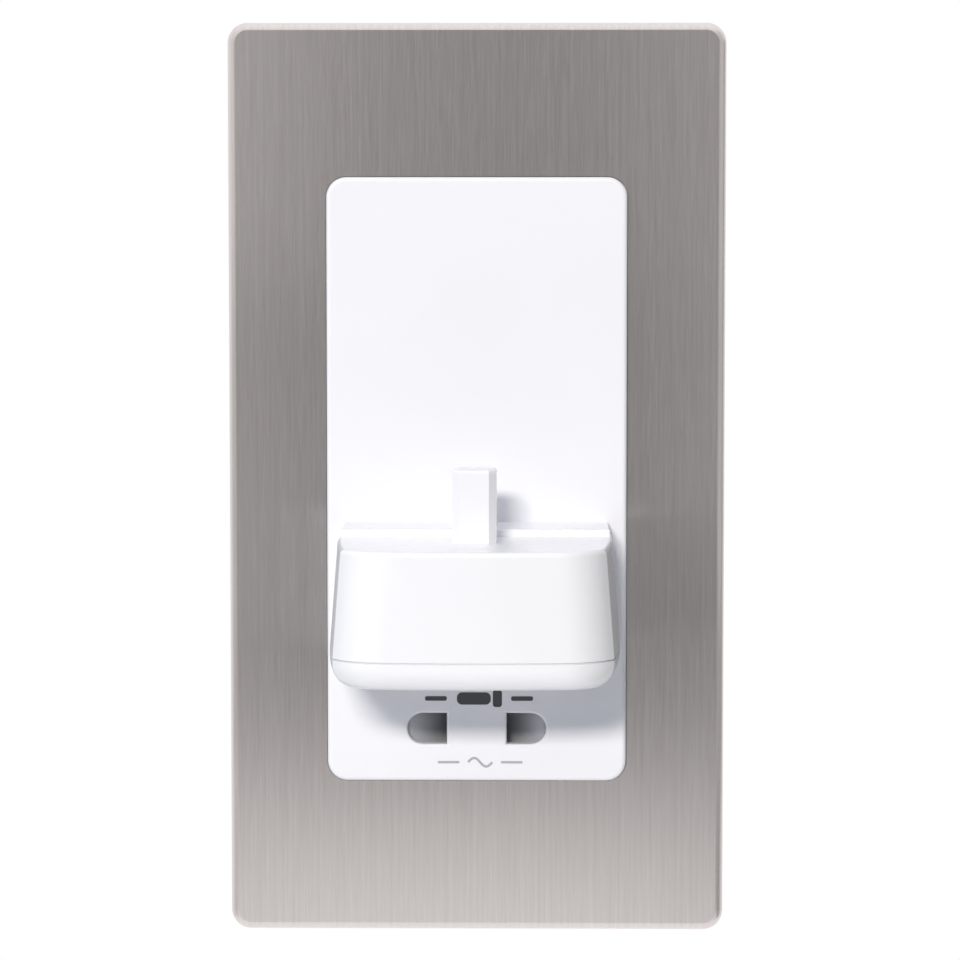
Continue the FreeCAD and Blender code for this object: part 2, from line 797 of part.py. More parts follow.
# Shutters: wedges that a pin pushes outward, each on a coil spring
def shutter(side, sign):
    body = new_body(f"shutter_{side}")
    front = f"({panel_inside} + shutter_gap)"
    back = f"({front} + shutter_depth)"
    section = plan_sketch(body, f"wedge_{side}", f"{slot_level} - shutter_half")
    points = [
        (f"{sign}*shutter_tip", back),
        (f"{sign}*shutter_tip", f"{back} - shutter_nose"),
        (f"{sign}*shutter_crest", front),
        (f"{sign}*shutter_end", front),
        (f"{sign}*shutter_end", back),
    ]
    draw(section, points if side == "left" else points[::-1])
    pad(section, "2*shutter_half", "up")


def shutter_spring(side, sign):
    body = new_body(f"shutter_spring_{side}")
    wire = plan_sketch(body, f"spring_wire_{side}", "0")
    circle(wire, "spring_wire", "spring_wire/2", "(spring_coil - spring_wire)/2")
    coil = body.newObject("PartDesign::AdditiveHelix", f"spring_{side}")
    coil.Profile = wire
    axis = next(item for item in body.Origin.OriginFeatures if item.Role == "X_Axis")
    coil.ReferenceAxis = (axis, [""])
    coil.Mode = "height-turns-angle"
    room = "(block_width/2 - block_end - shutter_end)"
    coil.setExpression("Height", bound(f"{room} - spring_wire"))
    coil.setExpression("Turns", bound("spring_turns"))
    doc.recompute()
    half_turn = FreeCAD.Rotation(FreeCAD.Vector(0, 0, 1), 180 if side == "left" else 0)
    body.Placement = FreeCAD.Placement(FreeCAD.Vector(), half_turn)
    middle = f"({panel_inside} + shutter_gap + shutter_depth/2)"
    for axis_name, text in zip("xyz", (f"{sign}*shutter_end", middle, slot_level)):
        body.setExpression(f"Placement.Base.{axis_name}", bound(text))


# Pin contacts: folded brass clips with a solder tail
def contact(side, sign):
    body = new_body(f"contact_{side}")
    start = f"({block_back} + contact_start)"
    end = f"({start} + contact_length)"
    inner = [
        ("contact_mouth", start),
        ("contact_pinch", f"{start} + contact_pinch_depth"),
        ("contact_root", f"{end} - contact_sheet"),
    ]
    outer = [
        ("(contact_root + contact_sheet)", end),
        ("(contact_pinch + contact_sheet)", f"{start} + contact_pinch_depth"),
        ("(contact_mouth + contact_sheet)", start),
    ]
    tail = [("contact_sheet/2", end), ("contact_sheet/2", f"{end} + tail_length")]
    half = tail[::-1] + outer + inner
    right_side = [(f"{sign}*pin_place + {x}", y) for x, y in half]
    left_side = [(f"{sign}*pin_place - {x}", y) for x, y in half[::-1]]
    profile = plan_sketch(body, f"clip_{side}", f"{slot_level} - contact_half")
    draw(profile, right_side + left_side)
    pad(profile, "2*contact_half", "up")


# Dock outline in plan, with every wall moved inward by inset
def dock_plan(sketch, level, inset):
    half_back = f"(dock_half_back_{level} - ({inset}))"
    half_front = f"(dock_half_front_{level} - ({inset}))"
    lean = "dock_draft_front" if level == "low" else "0"
    back = f"({panel_front} - ({inset}))" if inset != "0" else panel_front
    shoulder = f"({panel_front} - dock_reach - {lean} + ({inset}) + dock_front_bow)"
    corner = f"({shoulder} + dock_corner_depth)"
    half_shoulder = f"({half_front} - dock_corner_width)"
    chord = f"(({half_back} - {half_front})^2 + ({back} - {corner})^2)"
    side_radius = f"({chord}/4 + dock_side_bow^2)/(2*dock_side_bow)"
    front_radius = f"({half_shoulder}^2 + dock_front_bow^2)/(2*dock_front_bow)"
    points = [
        (half_back, back),
        (f"-{half_back}", back),
        (f"-{half_front}", corner),
        (f"-{half_shoulder}", shoulder),
        (half_shoulder, shoulder),
        (half_front, corner),
    ]
    arcs = {1: side_radius, 2: "dock_corner_radius", 3: front_radius}
    arcs |= {4: "dock_corner_radius", 5: side_radius}
    draw(sketch, points, arcs)


# The two upright edges where the dock's front meets its sides
def upright_corner(edge):
    low, high = edge.BoundBox.ZMin, edge.BoundBox.ZMax
    upright = high - low > tolerance
    outward = abs(edge.CenterOfMass.x) > value("dock_half_front_top - dock_corner_width/2")
    return upright and outward and edge.CenterOfMass.y < value(f"{panel_front} - dock_wall")


# Dock shell: lofted hood with a bowed front, a step at the back and the hollow charging post
def dock_shell():
    body = new_body("dock_shell")
    low = plan_sketch(body, "hood_low", "-dock_parting")
    dock_plan(low, "low", "0")
    high = plan_sketch(body, "hood_high", "-dock_top")
    dock_plan(high, "top", "0")
    hood = loft("AdditiveLoft", high, low)
    soft = fillet(hood, "dock_top_edge + corner_ease", upright_corner)
    wall_line = in_plane("Y", panel_front)
    top_line = in_plane("Z", "-dock_top")
    rimmed = fillet(soft, "dock_top_edge", lambda edge: top_line(edge) and not wall_line(edge))
    hollow_low = plan_sketch(body, "hollow_low", "-dock_parting")
    dock_plan(hollow_low, "low", "dock_wall")
    hollow_high = plan_sketch(body, "hollow_high", dock_ceiling)
    dock_plan(hollow_high, "top", "dock_wall")
    loft("SubtractiveLoft", hollow_high, hollow_low)
    ledge = plan_sketch(body, "ledge_outline", "-dock_top - dock_top_edge")
    ledge_width = "2*dock_half_back_top - 2*ledge_inset"
    rectangle(ledge, ledge_width, "ledge_depth", "0", f"{panel_front} - ledge_depth/2")
    step = pad(ledge, "dock_top_edge + ledge_height", "up")
    ledge_top = in_plane("Z", "-dock_top + ledge_height")
    fillet(step, "ledge_edge", lambda edge: ledge_top(edge) and not wall_line(edge))
    post = plan_sketch(body, "post_outline", "-dock_top")
    bevelled(post, "post_width", "post_depth", "post_corner", "0", post_place)
    stem = pad(post, "post_height", "up")
    fillet(stem, "post_edge", in_plane("Z", post_top))
    bore = plan_sketch(body, "post_bore_outline", dock_ceiling)
    circle(bore, "post_bore", "0", post_place)
    pocket(bore, f"{post_top} - post_cap - {dock_ceiling}", "up")
    bosses = front_sketch(body, "dock_bosses", f"{panel_front} - dock_wall")
    for x, z in four_dock_screws:
        circle(bosses, "boss_diameter", x, z)
    pad(bosses, "dock_boss_length", "front")
    pilots = front_sketch(body, "dock_pilots", panel_front)
    for x, z in four_dock_screws:
        circle(pilots, "pilot_hole", x, z)
    pocket(pilots, "dock_wall + dock_boss_length - well_floor", "front")
    lead = front_sketch(body, "dock_lead_hole", panel_front)
    circle(lead, "lead_hole", "0", "-lead_drop")
    pocket(lead, "dock_wall", "front")
    posts = plan_sketch(body, "base_bosses", dock_ceiling)
    for x, y in two_base_screws:
        circle(posts, "boss_diameter", x, y)
        circle(posts, "pilot_hole", x, y)
    pad(posts, f"{dock_ceiling} + dock_parting", "down")


# Dock base: shallow tray with a rolled lower edge and a lip inside the hood
def dock_base():
    body = new_body("dock_base")
    outline = plan_sketch(body, "tray_outline", base_top)
    dock_plan(outline, "low", "0")
    tray = pad(outline, f"{base_top} + dock_bottom", "down")
    soft = fillet(tray, "dock_base_edge + corner_ease", upright_corner)
    under = in_plane("Z", "-dock_bottom")
    wall_line = in_plane("Y", panel_front)
    fillet(soft, "dock_base_edge", lambda edge: under(edge) and not wall_line(edge))
    inside = plan_sketch(body, "tray_inside", base_top)
    dock_plan(inside, "low", "dock_wall + lip_gap + lip_wall")
    pocket(inside, f"{base_top} - {base_inside}", "down")
    lip = plan_sketch(body, "tray_lip", base_top)
    dock_plan(lip, "low", "dock_wall + lip_gap")
    dock_plan(lip, "low", "dock_wall + lip_gap + lip_wall")
    pad(lip, "lip_height + gasket_thickness", "up")
    posts = plan_sketch(body, "tray_posts", base_inside)
    for x, y in two_base_screws:
        circle(posts, "screw_head + 2*well_wall", x, y)
    pad(posts, f"-dock_parting - {base_inside}", "up")
    wells = plan_sketch(body, "tray_wells", "-dock_bottom")
    ways = plan_sketch(body, "tray_ways", "-dock_parting")
    for x, y in two_base_screws:
        circle(wells, "screw_head + 2*head_gap", x, y)
        circle(ways, "screw_clear", x, y)
    pocket(wells, "screw_head_height + head_gap", "up")
    pocket(ways, "dock_bottom - dock_parting", "down")


def dock_gasket():
    body = new_body("dock_gasket")
    ring = plan_sketch(body, "gasket_ring", base_top)
    dock_plan(ring, "low", "gasket_inset")
    dock_plan(ring, "low", "gasket_inset + gasket_width")
    pad(ring, "gasket_thickness", "up")


# Charging coil: a flanged former, its winding and the ferrite rod up the post
def charging_coil():
    start = ("0", post_place, dock_ceiling)
    foot = ("0", post_place, f"{dock_ceiling} - former_height + former_sheet")
    spool = fused(
        "former_spool",
        rod("former_cap", "former_flange", "former_sheet", start, "down"),
        rod("former_foot", "former_flange", "former_sheet", foot, "down"),
    )
    solid = fused("former_solid", spool, rod("former_stem", "former_tube", "former_height", start, "down"))
    bore = rod("former_bore", "post_bore", "former_height", start, "down")
    whole(cut("coil_former", solid, bore), "coil_former")
    top = ("0", post_place, f"{dock_ceiling} - former_sheet - coil_gap")
    length = "former_height - 2*former_sheet - 2*coil_gap"
    outside = rod("coil_outside", "coil_diameter", length, top, "down")
    inside = rod("coil_inside", "former_tube + 2*coil_gap", length, top, "down")
    whole(cut("charging_coil", outside, inside), "charging_coil")
    low = ("0", post_place, f"{dock_ceiling} - former_height - ferrite_tail")
    crown = f"{post_top} - post_cap - ferrite_crown"
    reach = f"{crown} - ({dock_ceiling} - former_height - ferrite_tail)"
    whole(rod("ferrite_core", "post_bore - 2*ferrite_gap", reach, low, "up"), "ferrite_core")


# Charger board and the parts soldered on its rear side
def charger_board():
    body = new_body("charger_board")
    outline = front_sketch(body, "board_outline", board_back)
    rounded(outline, "board_width", "board_height", "board_corner", "0", "-board_drop")
    for x, z in four_board_screws:
        circle(outline, "small_hole", x, z)
    pad(outline, "board_thickness", "front")
    spot = ("-capacitor_x", board_back, "-board_drop + capacitor_rise")
    can = rod("electrolytic_capacitor", "capacitor_diameter", "capacitor_length", spot, "back")
    whole(can, "electrolytic_capacitor")
    film = brick(
        "film_capacitor",
        "film_width",
        "film_height",
        "film_thickness",
        "film_x",
        board_back,
        "-board_drop + film_rise",
    )
    whole(film, "film_capacitor")
    bridge = brick(
        "bridge_rectifier",
        "bridge_width",
        "bridge_thickness",
        "bridge_width",
        "bridge_x",
        board_back,
        "-board_drop - bridge_drop",
    )
    whole(bridge, "bridge_rectifier")
    fuse = brick(
        "board_fuse",
        "fuse_length",
        "fuse_size",
        "fuse_size",
        "0",
        board_back,
        "-board_drop - board_height/2 + board_margin",
    )
    whole(fuse, "board_fuse")


# Isolating transformer: laminated core, split bobbin, two windings, clamps and a thermal cut-out
def transformer():
    middle_y = f"({core_back} + core_front)/2"
    core = new_body("transformer_core")
    stack = front_sketch(core, "lamination", core_back)
    rectangle(stack, "core_width", "core_height", "0", "core_rise")
    for sign in sides.values():
        window = f"{sign}*(core_width/2 - core_limb - core_window_width/2)"
        rectangle(stack, "core_window_width", "core_window", window, "core_rise")
        for upright in sides.values():
            level = f"core_rise + {upright}*(core_height/2 - core_limb/2)"
            circle(stack, "core_hole", f"{sign}*(core_width/2 - core_limb/2)", level)
    pad(stack, "core_stack", "front")

    inner_x = "(core_width - 2*core_limb - 2*core_window_width + 2*bobbin_gap)"
    inner_y = "(core_stack + 2*bobbin_gap)"
    tube_x = f"({inner_x} + 2*bobbin_sheet)"
    tube_y = f"({inner_y} + 2*bobbin_sheet)"
    flange_x = "(core_width - 2*core_limb - 2*bobbin_gap)"
    flange_y = "(core_stack + 2*winding_out)"
    span = "(core_window - 2*bobbin_gap)"
    low = f"(core_rise - {span}/2)"
    bobbin = new_body("transformer_bobbin")
    tube = plan_sketch(bobbin, "bobbin_tube", low)
    rectangle(tube, tube_x, tube_y, "0", middle_y)
    rectangle(tube, inner_x, inner_y, "0", middle_y)
    pad(tube, span, "up")
    cheeks = (
        ("low", low),
        ("middle", "(core_rise - bobbin_sheet/2)"),
        ("high", f"({low} + {span} - bobbin_sheet)"),
    )
    for name, level in cheeks:
        cheek = plan_sketch(bobbin, f"bobbin_{name}", level)
        rounded(cheek, flange_x, flange_y, "winding_corner", "0", middle_y)
        rectangle(cheek, inner_x, inner_y, "0", middle_y)
        pad(cheek, "bobbin_sheet", "up")

    chamber = f"(({span} - 3*bobbin_sheet)/2)"
    outer_x = f"({flange_x} - 2*winding_inset)"
    outer_y = f"({flange_y} - 2*winding_inset)"
    windings = (
        ("primary_winding", "(core_rise + bobbin_sheet/2)"),
        ("secondary_winding", f"({low} + bobbin_sheet)"),
    )
    for name, level in windings:
        winding = new_body(name)
        ring = plan_sketch(winding, f"{name}_ring", f"{level} + winding_gap")
        rounded(ring, outer_x, outer_y, "winding_corner", "0", middle_y)
        rectangle(ring, f"{tube_x} + 2*winding_gap", f"{tube_y} + 2*winding_gap", "0", middle_y)
        pad(ring, f"{chamber} - 2*winding_gap", "up")

    clamps = []
    half = "(core_height/2)"
    for name, sign in sides.items():
        hat = doc.addObject("PartDesign::Body", f"clamp_{name}")
        section = sketch_on(hat, f"clamp_section_{name}", "YZ_Plane", f"{sign}*{clamp_x} - clamp_width/2")
        outer = f"({half} + clamp_sheet)"
        profile = [
            (clamp_seat, f"({outer} + clamp_foot)"),
            (clamp_front, f"({outer} + clamp_foot)"),
            (clamp_front, outer),
            ("(core_front - clamp_sheet)", outer),
        ]
        inner = [("core_front", half), (clamp_seat, half)]
        upper = [(y, f"core_rise + {z}") for y, z in profile]
        lower = [(y, f"core_rise - {z}") for y, z in profile[::-1]]
        inside_low = [(y, f"core_rise - {z}") for y, z in inner[::-1]]
        inside_high = [(y, f"core_rise + {z}") for y, z in inner]
        draw(section, upper + lower + inside_low + inside_high)
        pad(section, "clamp_width", "up")
        drill = front_sketch(hat, f"clamp_holes_{name}", clamp_front)
        for x, z in four_clamp_feet:
            if x.startswith(f"{sign}*"):
                circle(drill, "screw_clear", x, z)
        pocket(drill, "clamp_sheet", "back")
        clamps.append(hat)
    group("transformer_clamps", clamps)

    cutout = brick(
        "thermal_cutout",
        "cutout_width",
        "cutout_thickness",
        "cutout_height",
        "0",
        "core_front - winding_out + winding_inset - cutout_thickness",
        "core_rise + bobbin_sheet",
    )
    whole(cutout, "thermal_cutout")


# Supply terminals: moulded block through the housing's back, brass cages and their screws
def terminals():
    low = "(-terminal_drop - terminal_height/2)"
    body = new_body("terminal_block")
    block = front_sketch(body, "terminal_outline", terminal_back)
    rectangle(block, "terminal_width", "terminal_height", "0", "-terminal_drop")
    pad(block, f"{terminal_back} - terminal_front", "front")
    lip = front_sketch(body, "terminal_lip_outline", housing_inside)
    rectangle(
        lip,
        "terminal_width + 2*terminal_lip",
        "terminal_height + 2*terminal_lip",
        "0",
        "-terminal_drop",
    )
    pad(lip, "terminal_lip_depth", "front")
    cells = front_sketch(body, "terminal_cells", terminal_back)
    entries = plan_sketch(body, "wire_entries", low)
    columns = [f"{step}*terminal_pitch" for step in ("-1", "0", "1")]
    cage_y = f"({terminal_back} - terminal_skin - terminal_cell/2)"
    for x in columns:
        rectangle(cells, "terminal_cell", "terminal_cell", x, "-terminal_drop")
        rectangle(entries, "wire_entry", "wire_entry", x, cage_y)
    pocket(cells, "terminal_cell_depth", "front")
    pocket(entries, "terminal_height/2", "up")
    cages = []
    screws = []
    cage = "(terminal_cell - 2*terminal_gap)"
    for index, x in enumerate(columns, start=1):
        solid = brick(
            f"cage_{index}",
            cage,
            "terminal_cell_depth - terminal_skin - terminal_gap",
            cage,
            x,
            f"{terminal_back} - terminal_cell_depth + terminal_gap",
            f"-terminal_drop - {cage}/2",
        )
        way = brick(
            f"cage_way_{index}",
            "wire_entry",
            "wire_entry",
            cage,
            x,
            f"{cage_y} - wire_entry/2",
            f"-terminal_drop - {cage}/2",
        )
        tapped = rod(
            f"cage_tap_{index}",
            "clamp_screw + 2*terminal_gap",
            "terminal_skin + terminal_cell/2 - wire_entry/2",
            (x, f"{cage_y} + wire_entry/2", "-terminal_drop"),
            "back",
        )
        cages.append(cut(f"terminal_cage_{index}", cut(f"cage_open_{index}", solid, way), tapped))
        seat = (x, f"{terminal_back} - terminal_skin", "-terminal_drop")
        reach = "terminal_cell/2 - wire_entry/2"
        name = f"terminal_screw_{index}"
        sizes = ("clamp_screw", "clamp_screw_head", "terminal_skin")
        screws.append(pan_screw(name, seat, "front", reach, sizes))
    group("terminal_cages", cages)
    group("terminal_screws", screws)


# Fasteners
def fasteners():
    flange = []
    for index, (x, z) in enumerate(four_flange_screws, start=1):
        seat = (x, f"{flange_front} + small_head_height", z)
        reach = f"-({flange_front}) - small_head_height - end_gap"
        name = f"flange_screw_{index}"
        flange.append(pan_screw(name, seat, "back", reach, small_screw))
    group("flange_screws", flange)
    housing_seat = "boss_reach + well_floor"
    dock_bite = "panel_face + screw_bite"
    ear_bite = "ear_thickness + screw_bite - end_gap"
    clamp_bite = "clamp_sheet + clamp_boss_height"
    board_bite = "board_thickness + screw_bite"
    sets = (
        ("housing_screws", four_wells, housing_seat, "well_floor + screw_bite", "front", large_screw),
        ("dock_fixing_screws", four_dock_screws, panel_inside, dock_bite, "front", large_screw),
        ("block_screws", two_ears, block_back, ear_bite, "front", large_screw),
        ("clamp_screws", four_clamp_feet, clamp_front, clamp_bite, "back", large_screw),
        ("board_screws", four_board_screws, board_back, board_bite, "front", small_screw),
    )
    for label, places, seat, reach, toward, sizes in sets:
        screws = []
        for index, (x, z) in enumerate(places, start=1):
            name = f"{label[:-1]}_{index}"
            spot = (x, seat, z)
            screws.append(pan_screw(name, spot, toward, reach, sizes))
        group(label, screws)
    base = []
    for index, (x, y) in enumerate(two_base_screws, start=1):
        seat = (x, y, "-dock_bottom + screw_head_height + head_gap")
        reach = "dock_bottom - dock_parting - screw_head_height + screw_bite"
        base.append(pan_screw(f"base_screw_{index}", seat, "up", reach, large_screw))
    group("dock_base_screws", base)


front_plate()
plate_carrier()
mounting_yoke()
socket_panel()
rear_housing()
contact_block()
for side, sign in sides.items():
    shutter(side, sign)
    shutter_spring(side, sign)
    contact(side, sign)
dock_shell()
dock_base()
dock_gasket()
charging_coil()
charger_board()
transformer()
terminals()
fasteners()
doc.recompute()

failed = [item.Label for item in doc.Objects if {"Invalid", "Error"} & set(item.State)]
failed += [item.Label for item in parts if item.Shape.isNull() or not item.Shape.isValid()]
if failed:
    raise RuntimeError("failed: " + ", ".join(failed))
os.makedirs("parts", exist_ok=True)
for item in parts:
    item.Shape.exportStep(f"parts/{item.Label}.step")
print(len(parts), "parts written")
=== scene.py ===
import math

import bmesh
import bpy
from mathutils import Matrix, Vector


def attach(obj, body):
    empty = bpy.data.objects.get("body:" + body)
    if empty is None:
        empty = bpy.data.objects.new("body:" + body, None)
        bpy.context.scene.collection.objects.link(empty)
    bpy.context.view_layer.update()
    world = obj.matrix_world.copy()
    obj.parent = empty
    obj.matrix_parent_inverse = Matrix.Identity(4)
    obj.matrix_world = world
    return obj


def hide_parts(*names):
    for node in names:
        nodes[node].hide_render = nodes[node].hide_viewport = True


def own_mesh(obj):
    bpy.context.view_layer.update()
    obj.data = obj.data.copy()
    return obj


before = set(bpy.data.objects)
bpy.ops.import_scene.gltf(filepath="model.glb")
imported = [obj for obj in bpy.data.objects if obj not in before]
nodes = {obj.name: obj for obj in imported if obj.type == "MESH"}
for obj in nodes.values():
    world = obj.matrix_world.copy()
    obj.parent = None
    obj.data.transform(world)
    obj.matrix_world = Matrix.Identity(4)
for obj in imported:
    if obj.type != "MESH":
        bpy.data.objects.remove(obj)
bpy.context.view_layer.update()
mm = 0.001
print("frame loaded:", len(nodes), "nodes")


# An sRGB hex value as the linear colour that Blender works in
def linear(colour):
    parts = [int(colour[i:i + 2], 16) / 255 for i in (1, 3, 5)]
    return tuple(c / 12.92 if c <= 0.04045 else ((c + 0.055) / 1.055) ** 2.4 for c in parts) + (1.0,)


def addNode(tree, kind, settings=None, links=None):
    node = tree.nodes.new(kind)
    for key, value in (settings or {}).items():
        if isinstance(key, str) and hasattr(node, key):
            setattr(node, key, value)
        else:
            node.inputs[key].default_value = value
    for key, source in (links or {}).items():
        tree.links.new(source, node.inputs[key])
    return node


def startMaterial(name):
    material = bpy.data.materials.new(name)
    material.use_nodes = True
    tree = material.node_tree
    shader = tree.nodes["Principled BSDF"]
    place = addNode(tree, "ShaderNodeTexCoord")
    return material, tree, shader, place.outputs["Object"]


# The colour goes from dark to light by tone; gloss and bump are optional
def dressSurface(tree, shader, dark, light, tone, gloss=None, bump=None):
    settings = {"data_type": "RGBA", 6: linear(dark), 7: linear(light)}
    colour = addNode(tree, "ShaderNodeMix", settings, {0: tone})
    tree.links.new(colour.outputs[2], shader.inputs["Base Color"])
    if gloss:
        tree.links.new(gloss.outputs[0], shader.inputs["Roughness"])
    if bump:
        tree.links.new(bump.outputs[0], shader.inputs["Normal"])


# 304 stainless, brushed upright on a belt: fine scratches smear light sideways and keep it sharp upright
steelFinish = {
    "light": "#E1DBD9",
    "dark": "#D3CCCA",
    "scratchWidth": 0.26,  # mm, real scratches are nearer 0.05 and would not show at this picture's scale
    "scratchLength": 7.0,  # mm
    "streakWidth": 0.7,  # mm, wider faint bands left by the belt
    "streakLength": 36.0,  # mm
    "toneFrom": (0.6, 1.4),  # scratches and streaks added up, from all dark to all light
    "roughness": (0.200, 0.240),
    "anisotropy": 1.0,
    "rolledFrom": 0.7,  # a face whose normal points up or down by more than this is a rolled edge
    "flatTangent": -0.05,  # keeps a sideways direction on faces that look straight up or down
    "bump": 0.03,
    "bumpDepth": 0.02,  # mm
}


def brushedStainless():
    finish = steelFinish
    material, tree, shader, place = startMaterial("stainless_brushed")
    facing = addNode(tree, "ShaderNodeNewGeometry").outputs["Normal"]
    # The scratches run on over the edges that are rolled back above and below
    normal = addNode(tree, "ShaderNodeSeparateXYZ", {}, {0: facing})
    tilt = addNode(tree, "ShaderNodeMath", {"operation": "ABSOLUTE"}, {0: normal.outputs["Z"]})
    settings = {"operation": "LESS_THAN", 1: finish["rolledFrom"]}
    upright = addNode(tree, "ShaderNodeMath", settings, {0: tilt.outputs[0]})
    axes = addNode(tree, "ShaderNodeSeparateXYZ", {}, {0: place})
    links = {0: axes.outputs["Y"], 1: upright.outputs[0]}
    depth = addNode(tree, "ShaderNodeMath", {"operation": "MULTIPLY"}, links)
    links = {0: axes.outputs["Y"], 1: axes.outputs["Z"]}
    run = addNode(tree, "ShaderNodeMath", {"operation": "ADD"}, links)
    links = {"X": axes.outputs["X"], "Y": depth.outputs[0], "Z": run.outputs[0]}
    unrolled = addNode(tree, "ShaderNodeCombineXYZ", {}, links)
    layers = []
    for mark, detail in (("scratch", 3.0), ("streak", 2.0)):
        across, along = 1 / (finish[f"{mark}Width"] * mm), 1 / (finish[f"{mark}Length"] * mm)
        settings = {"Scale": (across, across, along)}
        stretched = addNode(tree, "ShaderNodeMapping", settings, {"Vector": unrolled.outputs[0]})
        settings = {"Scale": 1.0, "Detail": detail, "Roughness": 0.6}
        layers.append(addNode(tree, "ShaderNodeTexNoise", settings, {"Vector": stretched.outputs[0]}))
    scratches, streaks = (layer.outputs["Fac"] for layer in layers)
    both = addNode(tree, "ShaderNodeMath", {"operation": "ADD"}, {0: scratches, 1: streaks})
    low, high = finish["toneFrom"]
    settings = {"From Min": low, "From Max": high}
    tone = addNode(tree, "ShaderNodeMapRange", settings, {"Value": both.outputs[0]})
    low, high = finish["roughness"]
    gloss = addNode(tree, "ShaderNodeMapRange", {"To Min": low, "To Max": high}, {"Value": scratches})
    settings = {"Strength": finish["bump"], "Distance": finish["bumpDepth"] * mm}
    bump = addNode(tree, "ShaderNodeBump", settings, {"Height": scratches})
    settings = {"operation": "CROSS_PRODUCT", 1: (0.0, 0.0, 1.0)}
    sideways = addNode(tree, "ShaderNodeVectorMath", settings, {0: facing})
    settings = {"operation": "ADD", 1: (finish["flatTangent"], 0.0, 0.0)}
    tangent = addNode(tree, "ShaderNodeVectorMath", settings, {0: sideways.outputs[0]})
    shader.inputs["Metallic"].default_value = 1.0
    shader.inputs["Anisotropic"].default_value = finish["anisotropy"]
    dressSurface(tree, shader, finish["dark"], finish["light"], tone.outputs[0], gloss, bump)
    tree.links.new(tangent.outputs[0], shader.inputs["Tangent"])
    return material


# Moulded plastics, potted and sintered bodies: an even skin that shows the tool's polish or erosion.
# In order: light, dark, the tool's grain in mm, how far it stands out, roughness from and to, IOR
mouldedPlastics = {
    # Hard and glossy, a cool white with an almost mirror-smooth skin
    "urea_white_polished_mould": ("#F5F5F9", "#F0F0F5", 1.60, 0.012, (0.20, 0.26), 1.55),
    # A touch glossier, so its edges catch thin highlights
    "abs_white_polished_mould": ("#F5F5F8", "#F0F0F4", 1.90, 0.010, (0.17, 0.22), 1.54),
    # Waxy and half matt, a slippery pale grey
    "acetal_pale_moulded": ("#E6E7EA", "#DBDCE0", 0.50, 0.030, (0.38, 0.46), 1.48),
    # Matt black with a fine dry grain
    "nylon_black_moulded": ("#2B2B2E", "#222225", 0.35, 0.080, (0.48, 0.58), 1.53),
    # Matt pale grey, slightly warm
    "nylon_pale_grey_moulded": ("#CFCFCB", "#C3C3BF", 0.40, 0.080, (0.46, 0.56), 1.53),
    # Off-white, with a spark-eroded texture that breaks up the light
    "pbt_white_eroded_mould": ("#E4E4E0", "#DAD9D5", 0.45, 0.160, (0.50, 0.62), 1.55),
    # Dark grey and half matt, crisp at its edges
    "pbt_dark_grey_moulded": ("#53565A", "#484B4F", 0.40, 0.080, (0.42, 0.52), 1.55),
    # Creamy and slightly waxy, without pigment
    "nylon_natural_moulded": ("#E6E0D0", "#DAD3C1", 0.40, 0.060, (0.42, 0.52), 1.53),
    # Dull black with a sandy grain
    "epoxy_black_moulded": ("#262628", "#1D1D1F", 0.30, 0.100, (0.52, 0.62), 1.55),
    # Shiny ochre, smooth where it was poured
    "epoxy_ochre_potted": ("#C79A32", "#B68A28", 0.60, 0.040, (0.22, 0.30), 1.55),
    # Milky and dull, without sharp highlights
    "silicone_white_moulded": ("#E3E4E7", "#D8D9DD", 0.30, 0.050, (0.58, 0.68), 1.42),
    # Charcoal grey, rough and chalky
    "ferrite_sintered": ("#37373A", "#2A2A2D", 0.25, 0.200, (0.60, 0.72), 1.60),
}
mouldedDrift = 22.0  # mm, slow drift of tone where the melt flowed
mouldedGrainDepth = 0.05  # mm


def mouldedPlastic(name):
    light, dark, grainSize, relief, (low, high), ior = mouldedPlastics[name]
    material, tree, shader, place = startMaterial(name)
    settings = {"Scale": 1 / (grainSize * mm), "Detail": 3.0, "Roughness": 0.55}
    grain = addNode(tree, "ShaderNodeTexNoise", settings, {"Vector": place}).outputs["Fac"]
    settings = {"Scale": 1 / (mouldedDrift * mm), "Detail": 2.0}
    drift = addNode(tree, "ShaderNodeTexNoise", settings, {"Vector": place})
    gloss = addNode(tree, "ShaderNodeMapRange", {"To Min": low, "To Max": high}, {"Value": grain})
    settings = {"Strength": relief, "Distance": mouldedGrainDepth * mm}
    bump = addNode(tree, "ShaderNodeBump", settings, {"Height": grain})
    shader.inputs["IOR"].default_value = ior
    dressSurface(tree, shader, dark, light, drift.outputs["Fac"], gloss, bump)
    return material


# Pressed, drawn and plated metals: a soft mirror broken by fine tool marks.
# In order: light, dark, a mark's size along X, Y and Z in mm, roughness from and to, how far it stands out
pressedMetals = {
    # Warm yellow with rolling lines along its length
    "brass_pressed": ("#D9B36A", "#B98F46", (0.3, 0.3, 3.0), (0.24, 0.36), 0.05),
    # Cool bright grey, slightly cloudy
    "zinc_plated_steel": ("#C9CCD2", "#A9ADB5", (0.5, 0.5, 0.5), (0.26, 0.40), 0.04),
    # Grey wire with fine lines along the draw
    "spring_steel_drawn": ("#B9BABD", "#97989C", (2.0, 0.15, 0.15), (0.22, 0.34), 0.04),
}
pressedMarkDepth = 0.03  # mm


